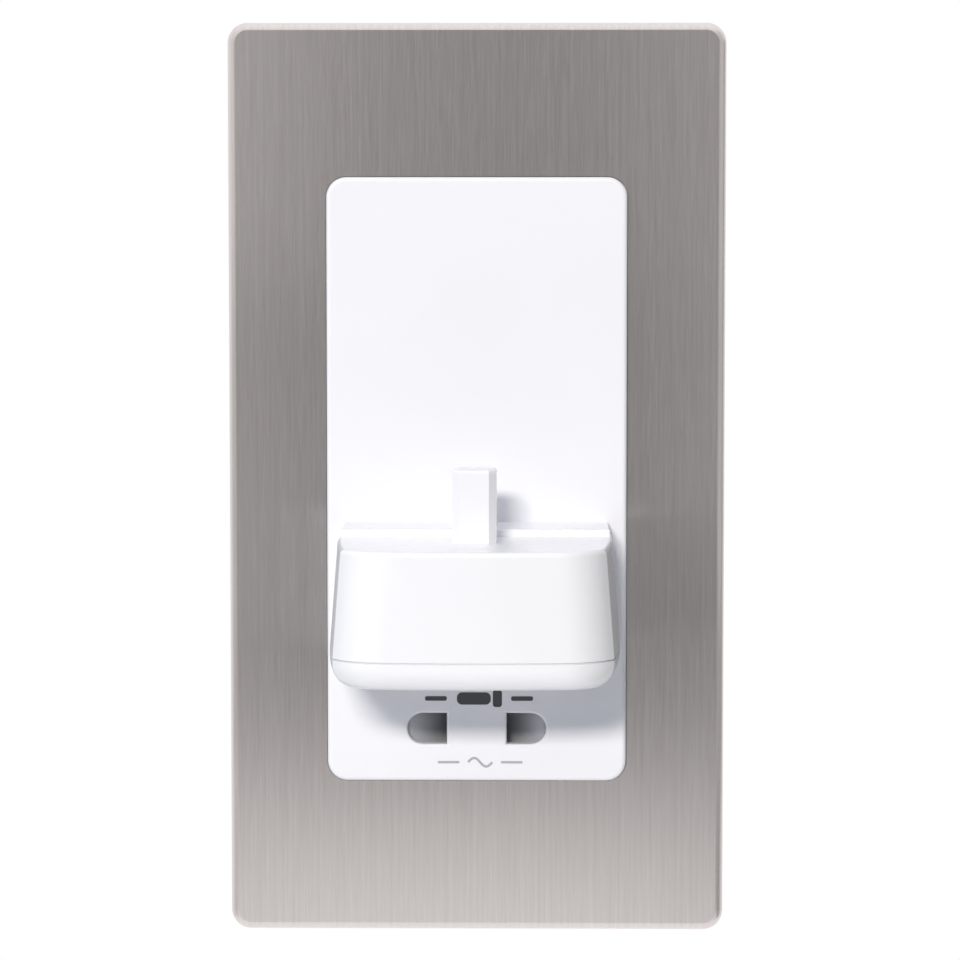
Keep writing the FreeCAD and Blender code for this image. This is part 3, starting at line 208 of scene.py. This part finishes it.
def pressedMetal(name):
    light, dark, markSize, (low, high), relief = pressedMetals[name]
    material, tree, shader, place = startMaterial(name)
    scale = tuple(1 / (size * mm) for size in markSize)
    stretched = addNode(tree, "ShaderNodeMapping", {"Scale": scale}, {"Vector": place})
    settings = {"Scale": 1.0, "Detail": 3.0, "Roughness": 0.6}
    toolMarks = addNode(tree, "ShaderNodeTexNoise", settings, {"Vector": stretched.outputs[0]}).outputs["Fac"]
    gloss = addNode(tree, "ShaderNodeMapRange", {"To Min": low, "To Max": high}, {"Value": toolMarks})
    settings = {"Strength": relief, "Distance": pressedMarkDepth * mm}
    bump = addNode(tree, "ShaderNodeBump", settings, {"Height": toolMarks})
    shader.inputs["Metallic"].default_value = 1.0
    dressSurface(tree, shader, dark, light, toolMarks, gloss, bump)
    return material


# Layered and wound things: bands at the real pitch of the sheets or turns, under varnish or enamel.
# In order: light, dark, the axis across the bands, pitch in mm, metallic, roughness, how far they stand out
bandedFinishes = {
    # Dark sheet edges, lighter where the varnish is thick
    "lamination_steel_varnished": ("#6A6A6E", "#2B2B2E", "Y", 0.50, 0.7, 0.45, 0.5),
    # Red-brown turns, each painted with a highlight on its crest and with shade between turns
    "copper_enamelled_winding": ("#B5682F", "#5E2C14", "Z", 0.35, 0.8, 0.30, 0.7),
}
bandRelief = 0.1  # mm
bandSoil = 4.0  # mm, patches of thicker varnish
waveRepeat = 0.314  # m, how often a wave texture of scale 1 repeats


def bandedFinish(name):
    light, dark, axis, pitch, metallic, roughness, relief = bandedFinishes[name]
    material, tree, shader, place = startMaterial(name)
    settings = {"bands_direction": axis, "Scale": waveRepeat / (pitch * mm), "Distortion": 0.6, "Detail": 2.0}
    bands = addNode(tree, "ShaderNodeTexWave", settings, {"Vector": place}).outputs["Fac"]
    settings = {"Scale": 1 / (bandSoil * mm), "Detail": 3.0}
    soil = addNode(tree, "ShaderNodeTexNoise", settings, {"Vector": place})
    links = {0: bands, 1: soil.outputs["Fac"]}
    soiled = addNode(tree, "ShaderNodeMath", {"operation": "MULTIPLY"}, links)
    # On the windings this light and dark is painted highlight and painted shade across each turn
    tone = addNode(tree, "ShaderNodeMapRange", {"From Max": 0.6}, {"Value": soiled.outputs[0]})
    settings = {"Strength": relief, "Distance": bandRelief * mm}
    bump = addNode(tree, "ShaderNodeBump", settings, {"Height": bands})
    shader.inputs["Metallic"].default_value = metallic
    shader.inputs["Roughness"].default_value = roughness
    dressSurface(tree, shader, dark, light, tone.outputs[0], None, bump)
    return material


# Glass-epoxy board under green solder mask: the weave shows faintly and the tracks as paler runs
boardFinish = {
    "mask": "#1E5A32",
    "track": "#2F7A46",
    "weave": 0.6,  # mm
    "weaveShare": 0.12,
    "run": 1.8,  # mm, between tracks
    "runWidth": 0.09,  # share of that
    "bump": 0.2,
    "bumpDepth": 0.04,  # mm
    "roughness": 0.32,
}


def solderMaskBoard():
    finish = boardFinish
    material, tree, shader, place = startMaterial("glass_epoxy_solder_mask")
    settings = {"Rotation": (math.pi / 2, 0.0, 0.0)}
    turned = addNode(tree, "ShaderNodeMapping", settings, {"Vector": place})
    settings = {"Scale": 1 / (finish["run"] * mm), "Mortar Size": finish["runWidth"]}
    runs = addNode(tree, "ShaderNodeTexBrick", settings, {"Vector": turned.outputs[0]}).outputs["Fac"]
    settings = {"Scale": 1 / (finish["weave"] * mm)}
    weave = addNode(tree, "ShaderNodeTexChecker", settings, {"Vector": place})
    settings = {"operation": "MULTIPLY_ADD", 1: finish["weaveShare"]}
    tone = addNode(tree, "ShaderNodeMath", settings, {0: weave.outputs["Fac"], 2: runs})
    settings = {"Strength": finish["bump"], "Distance": finish["bumpDepth"] * mm}
    bump = addNode(tree, "ShaderNodeBump", settings, {"Height": runs})
    shader.inputs["Roughness"].default_value = finish["roughness"]
    dressSurface(tree, shader, finish["mask"], finish["track"], tone.outputs[0], None, bump)
    return material


# Shrunk PVC sleeve on the capacitor: dark and glossy with one pale stripe for its negative side
sleeveFinish = {
    "sleeve": "#23242E",
    "stripe": "#B8B9C0",
    "stripeFrom": -9.2,  # mm along X
    "stripeTo": -6.8,
    "wrinkle": 1.2,  # mm
    "bump": 0.08,
    "bumpDepth": 0.05,  # mm
    "roughness": 0.25,
}


def shrinkSleeve():
    finish = sleeveFinish
    material, tree, shader, place = startMaterial("pvc_shrink_sleeve")
    sideways = addNode(tree, "ShaderNodeSeparateXYZ", {}, {0: place}).outputs["X"]
    settings = {"operation": "GREATER_THAN", 1: finish["stripeFrom"] * mm}
    past = addNode(tree, "ShaderNodeMath", settings, {0: sideways})
    settings = {"operation": "LESS_THAN", 1: finish["stripeTo"] * mm}
    before = addNode(tree, "ShaderNodeMath", settings, {0: sideways})
    links = {0: past.outputs[0], 1: before.outputs[0]}
    stripe = addNode(tree, "ShaderNodeMath", {"operation": "MULTIPLY"}, links)
    settings = {"Scale": 1 / (finish["wrinkle"] * mm)}
    wrinkle = addNode(tree, "ShaderNodeTexNoise", settings, {"Vector": place})
    settings = {"Strength": finish["bump"], "Distance": finish["bumpDepth"] * mm}
    bump = addNode(tree, "ShaderNodeBump", settings, {"Height": wrinkle.outputs["Fac"]})
    shader.inputs["Roughness"].default_value = finish["roughness"]
    dressSurface(tree, shader, finish["sleeve"], finish["stripe"], stripe.outputs[0], None, bump)
    return material


# Pad-printed ink: a thin matt film, a little uneven where the pad lifted
inkFinishes = {
    "ink_dark_pad_printed": ("#3B3C40", "#4A4B50"),
    "ink_pale_pad_printed": ("#A6A8AD", "#B4B6BB"),
}
inkGrain = 0.25  # mm
inkRoughness = (0.50, 0.65)


def padInk(name):
    dark, light = inkFinishes[name]
    material, tree, shader, place = startMaterial(name)
    settings = {"Scale": 1 / (inkGrain * mm), "Detail": 2.0}
    film = addNode(tree, "ShaderNodeTexNoise", settings, {"Vector": place}).outputs["Fac"]
    low, high = inkRoughness
    gloss = addNode(tree, "ShaderNodeMapRange", {"To Min": low, "To Max": high}, {"Value": film})
    dressSurface(tree, shader, dark, light, film, gloss)
    return material


finishOf = {
    "front_plate": brushedStainless(),
    "charger_board": solderMaskBoard(),
    "electrolytic_capacitor": shrinkSleeve(),
}
plasticOf = {
    "urea_white_polished_mould": ["socket_panel"],
    "abs_white_polished_mould": ["dock_shell", "dock_base"],
    "acetal_pale_moulded": ["shutter_left", "shutter_right"],
    "nylon_black_moulded": ["plate_carrier", "contact_block"],
    "nylon_pale_grey_moulded": ["mounting_yoke"],
    "pbt_white_eroded_mould": ["rear_housing"],
    "pbt_dark_grey_moulded": ["terminal_block"],
    "nylon_natural_moulded": ["transformer_bobbin", "coil_former"],
    "epoxy_black_moulded": ["bridge_rectifier", "thermal_cutout", "board_fuse"],
    "epoxy_ochre_potted": ["film_capacitor"],
    "silicone_white_moulded": ["dock_gasket"],
    "ferrite_sintered": ["ferrite_core"],
}
metalOf = {
    "brass_pressed": ["contact_left", "contact_right", "terminal_cages"],
    "zinc_plated_steel": [
        "transformer_clamps",
        "flange_screws",
        "housing_screws",
        "dock_fixing_screws",
        "block_screws",
        "clamp_screws",
        "board_screws",
        "dock_base_screws",
        "terminal_screws",
    ],
    "spring_steel_drawn": ["shutter_spring_left", "shutter_spring_right"],
}
bandedOf = {
    "lamination_steel_varnished": ["transformer_core"],
    "copper_enamelled_winding": ["primary_winding", "secondary_winding", "charging_coil"],
}
for table, make in ((plasticOf, mouldedPlastic), (metalOf, pressedMetal), (bandedOf, bandedFinish)):
    for name, members in table.items():
        material = make(name)
        for member in members:
            finishOf[member] = material
for name, node in nodes.items():
    node.data.materials.clear()
    node.data.materials.append(finishOf[name])
print("finishes set:", len(bpy.data.materials))


def newPiece(name, mesh, material, body):
    piece = bpy.data.objects.new(name, mesh)
    bpy.context.scene.collection.objects.link(piece)
    piece.data.materials.clear()
    piece.data.materials.append(material)
    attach(piece, body)
    return piece


# Springs: the same coil, copied into a piece of its own, in mm
for side, sign in (("left", -1), ("right", 1)):
    node = nodes[f"shutter_spring_{side}"]
    coil = newPiece(f"coil_{side}", node.data.copy(), finishOf[node.name], "unit")
    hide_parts(node.name)
    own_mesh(coil)
print("springs made")

# Screws: pan heads with a cross or slot recess and a rolled thread, in mm.
# A recess is given by its bars' width, reach and depth
screwKinds = {
    "large": {
        "head": 5.4,
        "rise": 2.0,
        "shank": 2.9,
        "core": 2.2,
        "pitch": 1.1,
        "recess": (0.9, 3.4, 1.3),
        "bars": 2,
    },
    "small": {
        "head": 4.6,
        "rise": 1.2,
        "shank": 2.4,
        "core": 1.8,
        "pitch": 0.9,
        "recess": (0.8, 2.8, 0.8),
        "bars": 2,
    },
    "clamp": {
        "head": 4.4,
        "rise": 1.4,
        "shank": 3.2,
        "core": 2.7,
        "pitch": 0.6,
        "recess": (0.8, 6.0, 0.7),
        "bars": 1,
    },
}
screwShape = {
    "segments": 32,
    "threadRows": 6,  # rows of points in one turn
    "domeSteps": 8,
    "wall": 0.4,  # where the dome starts, as a share of the head's rise
    "edge": 0.1,  # where the head's lower edge starts, likewise
    "seat": 0.96,  # the head's width where it sits, as a share of its full width
    "crossTaper": 0.6,  # the floor of a cross recess, as a share of its mouth
    "mergeGap": 1e-7,  # m
}
# The kind of each set and the way that its shanks point
screwSets = {
    "flange_screws": ("small", (0, 1, 0)),
    "housing_screws": ("large", (0, -1, 0)),
    "dock_fixing_screws": ("large", (0, -1, 0)),
    "block_screws": ("large", (0, -1, 0)),
    "clamp_screws": ("large", (0, 1, 0)),
    "board_screws": ("small", (0, -1, 0)),
    "dock_base_screws": ("large", (0, 0, 1)),
    "terminal_screws": ("clamp", (0, -1, 0)),
}


# The boxes of a node's separate solids
def solidBoxes(node):
    work = bmesh.new()
    work.from_mesh(node.data)
    bmesh.ops.remove_doubles(work, verts=work.verts, dist=screwShape["mergeGap"])
    boxes, seen = [], set()
    for start in work.verts:
        if start in seen:
            continue
        island, queue = [], [start]
        seen.add(start)
        while queue:
            vert = queue.pop()
            island.append(vert.co.copy())
            for edge in vert.link_edges:
                other = edge.other_vert(vert)
                if other not in seen:
                    seen.add(other)
                    queue.append(other)
        low = Vector(min(point[axis] for point in island) for axis in range(3))
        high = Vector(max(point[axis] for point in island) for axis in range(3))
        boxes.append((low, high))
    work.free()
    return boxes


# One screw about the Z axis: its head stands on Z = 0 and its shank reaches down.
# Each ring is a function that gives its radius and level at an angle
def screwMesh(kind, length):
    size, shape = screwKinds[kind], screwShape
    head, rise, shank, core = size["head"] / 2, size["rise"], size["shank"] / 2, size["core"] / 2
    wall = shape["wall"] * rise
    rings = []
    for step in range(1, shape["domeSteps"]):
        turn = math.pi / 2 * (1 - step / shape["domeSteps"])
        rings.append(lambda angle, turn=turn: (head * math.cos(turn), wall + (rise - wall) * math.sin(turn)))
    rings.append(lambda angle: (head, wall))
    rings.append(lambda angle: (head, shape["edge"] * rise))
    rings.append(lambda angle: (shape["seat"] * head, 0.0))
    rings.append(lambda angle: (shank, 0.0))
    rows = math.ceil(length / size["pitch"] * shape["threadRows"])
    for row in range(1, rows + 1):
        level = -length * row / rows
        fade = min(1.0, (length + level) / size["pitch"])  # the thread runs out at the tip

        def threadRing(angle, level=level, fade=fade):
            turnShare = (level / size["pitch"] + angle / (2 * math.pi)) % 1.0
            crest = 1 - abs(2 * turnShare - 1)
            return core + (shank - core) * crest * fade, level

        rings.append(threadRing)
    work = bmesh.new()
    loops = []
    for ring in rings:
        loop = []
        for index in range(shape["segments"]):
            angle = 2 * math.pi * index / shape["segments"]
            radius, level = ring(angle)
            point = (radius * math.cos(angle) * mm, radius * math.sin(angle) * mm, level * mm)
            loop.append(work.verts.new(point))
        loops.append(loop)
    top = work.verts.new((0, 0, rise * mm))
    tip = work.verts.new((0, 0, -length * mm))
    for index in range(shape["segments"]):
        after = (index + 1) % shape["segments"]
        work.faces.new((top, loops[0][index], loops[0][after]))
        work.faces.new((tip, loops[-1][after], loops[-1][index]))
        for upper, lower in zip(loops, loops[1:]):
            work.faces.new((upper[index], lower[index], lower[after], upper[after]))
    bmesh.ops.recalc_face_normals(work, faces=work.faces)
    mesh = bpy.data.meshes.new(f"screw_{kind}")
    work.to_mesh(mesh)
    work.free()
    return mesh


# The driver's recess: one bar for a slot, two tapered ones for a cross
def recessTools(kind):
    size = screwKinds[kind]
    width, reach, depth = size["recess"]
    tools = []
    for bar in range(size["bars"]):
        work = bmesh.new()
        bmesh.ops.create_cube(work, size=2.0)
        for vert in work.verts:
            floor = vert.co.z < 0
            taper = screwShape["crossTaper"] if floor and size["bars"] > 1 else 1.0
            level = size["rise"] - depth if floor else size["rise"] + depth
            vert.co = (vert.co.x * reach / 2 * taper * mm, vert.co.y * width / 2 * taper * mm, level * mm)
        bmesh.ops.rotate(work, verts=work.verts, matrix=Matrix.Rotation(bar * math.pi / 2, 3, "Z"))
        mesh = bpy.data.meshes.new("recess")
        work.to_mesh(mesh)
        work.free()
        tools.append(bpy.data.objects.new("recess", mesh))
    return tools


def carvedScrew(kind, length):
    blank = bpy.data.objects.new("blank", screwMesh(kind, length))
    tools = recessTools(kind)
    for item in [blank] + tools:
        bpy.context.scene.collection.objects.link(item)
    for tool in tools:
        cutter = blank.modifiers.new("recess", "BOOLEAN")
        cutter.operation = "DIFFERENCE"
        cutter.solver = "EXACT"
        cutter.object = tool
    carved = blank.evaluated_get(bpy.context.evaluated_depsgraph_get())
    mesh = bpy.data.meshes.new_from_object(carved)
    for item in [blank] + tools:
        bpy.data.objects.remove(item)
    return mesh


for name, (kind, toward) in screwSets.items():
    axis = Vector(toward)
    along = max(range(3), key=lambda index: abs(toward[index]))
    rise = screwKinds[kind]["rise"] * mm
    turn = Vector((0, 0, -1)).rotation_difference(axis).to_matrix().to_4x4()
    work = bmesh.new()
    pattern = None
    for low, high in solidBoxes(nodes[name]):
        length = (high[along] - low[along] - rise) / mm
        pattern = pattern or carvedScrew(kind, length)
        seat = (low + high) / 2
        seat[along] = low[along] + rise if toward[along] > 0 else high[along] - rise
        copy = pattern.copy()
        copy.transform(Matrix.Translation(seat) @ turn)
        work.from_mesh(copy)
    mesh = bpy.data.meshes.new(f"threaded_{name}")
    work.to_mesh(mesh)
    work.free()
    piece = newPiece(f"threaded_{name}", mesh, finishOf[name], "unit")
    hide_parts(name)
print("screws made:", len(screwSets), "sets")

# Printed marks on the panel, in mm: a shaver between two bars, and the alternating-current sign between
# two dashes
marks = {
    "film": 0.03,
    "face": -6.5,  # the panel's front, along Y
    "cornerSteps": 6,
    "shaver": {
        "middle": (0.4, -38.0),
        "length": 8.0,
        "height": 3.0,
        "head": 1.6,
        "headRadius": 0.5,
        "gap": 0.5,  # between head and body
        "bodyShift": -0.9,
        "bodyHeight": 0.72,  # as a share of the head's
        "bodyRadius": 0.9,
        "barFrom": 5.6,
        "barTo": 9.4,
        "barHeight": 0.8,
        "barRadius": 0.3,
    },
    "current": {
        "middle": (0.6, -49.2),
        "span": 4.2,
        "rise": 0.75,
        "stroke": 0.42,
        "steps": 24,
        "dashFrom": 3.6,
        "dashTo": 7.4,
        "dashHeight": 0.42,
        "dashRadius": 0.2,
    },
}


def filmMesh(name, outlines):
    mesh = bpy.data.meshes.new(name)
    work = bmesh.new()
    for outline in outlines:
        corners = [work.verts.new((x * mm, marks["face"] * mm, z * mm)) for x, z in outline]
        face = work.faces.new(corners)
        raised = bmesh.ops.extrude_face_region(work, geom=[face])
        top = [item for item in raised["geom"] if isinstance(item, bmesh.types.BMVert)]
        bmesh.ops.translate(work, verts=top, vec=(0, -marks["film"] * mm, 0))
    bmesh.ops.recalc_face_normals(work, faces=work.faces)
    work.to_mesh(mesh)
    work.free()
    return mesh


def roundedOutline(x, z, width, height, radius):
    points = []
    steps = marks["cornerSteps"]
    for corner, (sideX, sideZ) in enumerate(((1, 1), (-1, 1), (-1, -1), (1, -1))):
        centreX, centreZ = x + sideX * (width / 2 - radius), z + sideZ * (height / 2 - radius)
        for step in range(steps + 1):
            angle = math.pi / 2 * (corner + step / steps)
            points.append((centreX + radius * math.cos(angle), centreZ + radius * math.sin(angle)))
    return points


# The outline of a line of even width
def ribbon(points, stroke):
    left, right = [], []
    for index, point in enumerate(points):
        before, after = points[max(index - 1, 0)], points[min(index + 1, len(points) - 1)]
        dx, dz = after[0] - before[0], after[1] - before[1]
        size = math.hypot(dx, dz)
        left.append((point[0] - dz / size * stroke / 2, point[1] + dx / size * stroke / 2))
        right.append((point[0] + dz / size * stroke / 2, point[1] - dx / size * stroke / 2))
    return left + right[::-1]


# Two short bars, one each side of a mark's middle
def sideBars(middle, start, end, height, radius):
    x, z = middle
    return [roundedOutline(x + side * (start + end) / 2, z, end - start, height, radius) for side in (-1, 1)]


def printMarks():
    sign = marks["shaver"]
    x, z = sign["middle"]
    bars = sideBars(sign["middle"], sign["barFrom"], sign["barTo"], sign["barHeight"], sign["barRadius"])
    bodyLength = sign["length"] - sign["head"] - sign["gap"]
    bodyHeight = sign["height"] * sign["bodyHeight"]
    body = roundedOutline(x + sign["bodyShift"], z, bodyLength, bodyHeight, sign["bodyRadius"])
    headMiddle = x + sign["length"] / 2 - sign["head"] / 2
    head = roundedOutline(headMiddle, z, sign["head"], sign["height"], sign["headRadius"])
    mesh = filmMesh("shaver_sign", [body, head] + bars)
    newPiece("shaver_sign", mesh, padInk("ink_dark_pad_printed"), "unit")
    wave = marks["current"]
    x, z = wave["middle"]
    turns = [step / wave["steps"] for step in range(wave["steps"] + 1)]
    line = [(x + wave["span"] * (t - 0.5), z + wave["rise"] * math.sin(2 * math.pi * t)) for t in turns]
    height, radius = wave["dashHeight"], wave["dashRadius"]
    dashes = sideBars(wave["middle"], wave["dashFrom"], wave["dashTo"], height, radius)
    mesh = filmMesh("current_sign", [ribbon(line, wave["stroke"])] + dashes)
    newPiece("current_sign", mesh, padInk("ink_pale_pad_printed"), "unit")


printMarks()
print("marks printed")


# Studio: a small key from the upper left, soft light from above and the left, glowing cards close beside the
# plate that only the steel's reflections show, and white all round
studio = {
    "key": {
        "aim": (0.0, -0.02, -0.02),
        "direction": (-0.132, -0.944, 0.301),
        "distance": 1.6,
        "size": (0.30, 0.12),
        "power": 17.2,
        "colour": "#FFFAF3",
    },
    "rear": {
        "aim": (0.0, 0.0, 0.0),
        "place": (0.0, 1.3, 0.45),
        "size": (0.8, 0.8),
        "power": 12.0,
        "colour": "#FFFFFF",
    },
    "airColour": "#E6F1FF",
    "overheadColour": "#F6F8FF",
    "overheadFrom": (20, 50),  # degrees of elevation over which the one turns into the other
    # Elevation in degrees, and the brightness there of the light that falls on the part
    "levels": (
        (-90, 0.345),
        (-12, 0.345),
        (-8, 0.285),
        (20, 0.29),
        (32, 0.56),
        (45, 0.84),
        (60, 1.02),
        (90, 1.06),
    ),
    # The share of that light by X, from left to right
    "sides": ((-1.0, 1.7), (-0.25, 1.0), (0.15, 1.0), (0.7, 0.25), (1.0, 0.20)),
    # The same for what metal mirrors: by elevation, and by X from left to right
    "mirrorLevels": (
        (-90, 1.10),
        (-12.5, 1.0),
        (-10.9, 0.88),
        (-10.3, 0.85),
        (-9.7, 0.98),
        (-9.3, 0.72),
        (-8.9, 0.28),
        (-8.4, 0.18),
        (0, 0.18),
        (5, 0.20),
        (9, 0.60),
        (16, 1.05),
        (90, 1.15),
    ),
    "mirrorSides": (
        (-1.0, 1.0),
        (-0.85, 1.0),
        (-0.6, 0.30),
        (-0.2, 0.15),
        (0.0, 0.0),
        (0.2, 0.15),
        (0.6, 0.25),
        (0.85, 0.35),
        (1.0, 0.35),
    ),
    "mirrorBehind": (0.05, 0.35, 1.1),  # the white backdrop comes in from this Y to this Y, this bright
    # The cards' reach in front of the wall and their heights, in m
    "cardReach": (-0.25, -0.012),
    "cardHeights": (-0.10, 0.11),
    # Each card's X, and its brightness by height
    "cards": {
        "card_left": (
            -0.072,
            (
                (-0.10, 0.66),
                (-0.06, 0.64),
                (-0.05, 0.54),
                (-0.02, 0.66),
                (0.02, 0.62),
                (0.045, 0.80),
                (0.11, 0.84),
            ),
        ),
        "card_right": (
            0.072,
            (
                (-0.10, 0.36),
                (-0.035, 0.44),
                (-0.02, 0.60),
                (0.02, 0.58),
                (0.045, 0.64),
                (0.11, 0.66),
            ),
        ),
    },
    "floor": {
        "level": -0.36,
        "radius": 0.9,
        "segments": 96,
        "fade": (0.35, 0.88),  # radii over which it fades into the background
        "colours": ("#D9D9D9", "#DEDEDE"),
        "fibre": 3.0,  # mm
        "roughness": 0.9,
    },
}


def addLamp(name, place, lampSettings):
    lamp = bpy.data.lights.new(name, "AREA")
    lamp.shape = "RECTANGLE"
    lamp.size, lamp.size_y = lampSettings["size"]
    lamp.energy = lampSettings["power"]
    lamp.color = linear(lampSettings["colour"])[:3]
    item = bpy.data.objects.new(name, lamp)
    item.location = place
    toAim = Vector(lampSettings["aim"]) - Vector(place)
    item.rotation_euler = toAim.to_track_quat("-Z", "Y").to_euler()
    item.visible_camera = False
    item.visible_glossy = False  # crossed polarisers keep the lamp's own glare off the steel
    bpy.context.scene.collection.objects.link(item)


# Sets a ramp's grey stops, each a place from 0 to 1 and a level
def setStops(ramp, stops):
    points = ramp.color_ramp.elements
    while len(points) < len(stops):
        points.new(0.5)
    for point, (position, level) in zip(points, stops):
        point.position = position
        point.color = (level, level, level, 1.0)


def studioWorld():
    world = bpy.data.worlds.new("studio")
    bpy.context.scene.world = world
    world.use_nodes = True
    tree = world.node_tree
    tree.nodes.clear()
    place = addNode(tree, "ShaderNodeTexCoord")
    axes = addNode(tree, "ShaderNodeSeparateXYZ", {}, {0: place.outputs["Generated"]})
    shares = {}
    for axis, names in (("Z", ("levels", "mirrorLevels")), ("X", ("sides", "mirrorSides"))):
        settings = {"From Min": -1.0, "From Max": 1.0}
        half = addNode(tree, "ShaderNodeMapRange", settings, {"Value": axes.outputs[axis]})
        for name in names:
            ramp = addNode(tree, "ShaderNodeValToRGB", {}, {"Fac": half.outputs[0]})
            heights = axis == "Z"  # given by elevation, so turned into Z first
            spots = [(math.sin(math.radians(at)) if heights else at, level) for at, level in studio[name]]
            setStops(ramp, [((spot + 1) / 2, level) for spot, level in spots])
            shares[name] = ramp.outputs[0]
    links = {0: shares["levels"], 1: shares["sides"]}
    shade = addNode(tree, "ShaderNodeMath", {"operation": "MULTIPLY"}, links)
    links = {0: shares["mirrorLevels"], 1: shares["mirrorSides"]}
    around = addNode(tree, "ShaderNodeMath", {"operation": "MAXIMUM"}, links)
    start, end, level = studio["mirrorBehind"]
    settings = {"From Min": start, "From Max": end, "To Min": 0.0, "To Max": level}
    behind = addNode(tree, "ShaderNodeMapRange", settings, {"Value": axes.outputs["Y"]})
    links = {0: around.outputs[0], 1: behind.outputs[0]}
    mirrored = addNode(tree, "ShaderNodeMath", {"operation": "MAXIMUM"}, links)
    start, end = (math.sin(math.radians(angle)) for angle in studio["overheadFrom"])
    settings = {"From Min": start, "From Max": end}
    overhead = addNode(tree, "ShaderNodeMapRange", settings, {"Value": axes.outputs["Z"]})
    settings = {"data_type": "RGBA", 6: linear(studio["airColour"]), 7: linear(studio["overheadColour"])}
    air = addNode(tree, "ShaderNodeMix", settings, {0: overhead.outputs[0]})
    links = {"Color": air.outputs[2], "Strength": shade.outputs[0]}
    soft = addNode(tree, "ShaderNodeBackground", {}, links)
    white = (1, 1, 1, 1)
    mirror = addNode(tree, "ShaderNodeBackground", {"Color": white}, {"Strength": mirrored.outputs[0]})
    plain = addNode(tree, "ShaderNodeBackground", {"Color": white, "Strength": 1.0})
    path = addNode(tree, "ShaderNodeLightPath")
    links = {0: path.outputs["Is Glossy Ray"], 1: soft.outputs[0], 2: mirror.outputs[0]}
    lit = addNode(tree, "ShaderNodeMixShader", {}, links)
    links = {0: path.outputs["Is Camera Ray"], 1: path.outputs["Is Transmission Ray"]}
    seen = addNode(tree, "ShaderNodeMath", {"operation": "MAXIMUM"}, links)
    links = {0: seen.outputs[0], 1: lit.outputs[0], 2: plain.outputs[0]}
    mixed = addNode(tree, "ShaderNodeMixShader", {}, links)
    addNode(tree, "ShaderNodeOutputWorld", {}, {"Surface": mixed.outputs[0]})


# Cards that glow, brighter or dimmer by height, and that only mirrors see
def addCard(name, x, stops):
    (near, far), (low, high) = studio["cardReach"], studio["cardHeights"]
    mesh = bpy.data.meshes.new(name)
    mesh.from_pydata([(x, near, low), (x, far, low), (x, far, high), (x, near, high)], [], [(0, 1, 2, 3)])
    card = bpy.data.objects.new(name, mesh)
    bpy.context.scene.collection.objects.link(card)
    material, tree, shader, place = startMaterial(name)
    axes = addNode(tree, "ShaderNodeSeparateXYZ", {}, {0: place})
    settings = {"From Min": low, "From Max": high}
    height = addNode(tree, "ShaderNodeMapRange", settings, {"Value": axes.outputs["Z"]})
    glow = addNode(tree, "ShaderNodeValToRGB", {}, {"Fac": height.outputs[0]})
    setStops(glow, [((z - low) / (high - low), level) for z, level in stops])
    shader.inputs["Base Color"].default_value = (0.0, 0.0, 0.0, 1.0)
    shader.inputs["Emission Strength"].default_value = 1.0
    tree.links.new(glow.outputs[0], shader.inputs["Emission Color"])
    mesh.materials.append(material)
    card.visible_camera = False
    card.visible_diffuse = False
    card.visible_transmission = False
    card.visible_shadow = False


# White paper floor that fades into the background
def studioFloor():
    sweep = studio["floor"]
    mesh = bpy.data.meshes.new("floor")
    work = bmesh.new()
    bmesh.ops.create_circle(work, cap_ends=True, segments=sweep["segments"], radius=sweep["radius"])
    work.to_mesh(mesh)
    work.free()
    floor = bpy.data.objects.new("floor", mesh)
    floor.location = (0, 0, sweep["level"])
    bpy.context.scene.collection.objects.link(floor)
    material, tree, shader, place = startMaterial("paper_white_sweep")
    radius = addNode(tree, "ShaderNodeVectorMath", {"operation": "LENGTH"}, {0: place})
    near, far = sweep["fade"]
    settings = {"interpolation_type": "SMOOTHSTEP", "From Min": near, "From Max": far}
    settings |= {"To Min": 1.0, "To Max": 0.0}
    fade = addNode(tree, "ShaderNodeMapRange", settings, {"Value": radius.outputs["Value"]})
    settings = {"Scale": 1 / (sweep["fibre"] * mm), "Detail": 2.0}
    fibre = addNode(tree, "ShaderNodeTexNoise", settings, {"Vector": place})
    shader.inputs["Roughness"].default_value = sweep["roughness"]
    dark, light = sweep["colours"]
    dressSurface(tree, shader, dark, light, fibre.outputs["Fac"])
    tree.links.new(fade.outputs[0], shader.inputs["Alpha"])
    floor.data.materials.append(material)
    floor.visible_glossy = False


key, rear = studio["key"], studio["rear"]
addLamp("key", Vector(key["aim"]) + Vector(key["direction"]) * key["distance"], key)
addLamp("rear", rear["place"], rear)
studioWorld()
for name, (x, stops) in studio["cards"].items():
    addCard(name, x, stops)
studioFloor()
print("studio lit")

# Camera: level with the plate's upper half and slightly right of its middle, turned onto the plate's middle
shot = {
    "place": (0.0100, -0.6655, 0.0530),
    "pitch": -0.0800,
    "yaw": 0.0143,
    "pixelsPerTangent": 3815.0,
    "pictureSize": 960,
    "sensor": 36.0,
    "clip": (0.01, 20.0),
}
camera = bpy.data.objects.new("camera", bpy.data.cameras.new("camera"))
bpy.context.scene.collection.objects.link(camera)
camera.location = shot["place"]
camera.rotation_euler = (math.pi / 2 + shot["pitch"], 0.0, shot["yaw"])
camera.data.sensor_width = shot["sensor"]
camera.data.lens = shot["sensor"] * shot["pixelsPerTangent"] / shot["pictureSize"]
camera.data.clip_start, camera.data.clip_end = shot["clip"]
bpy.context.scene.camera = camera
bpy.context.scene.view_settings.view_transform = "Standard"
print("camera set")
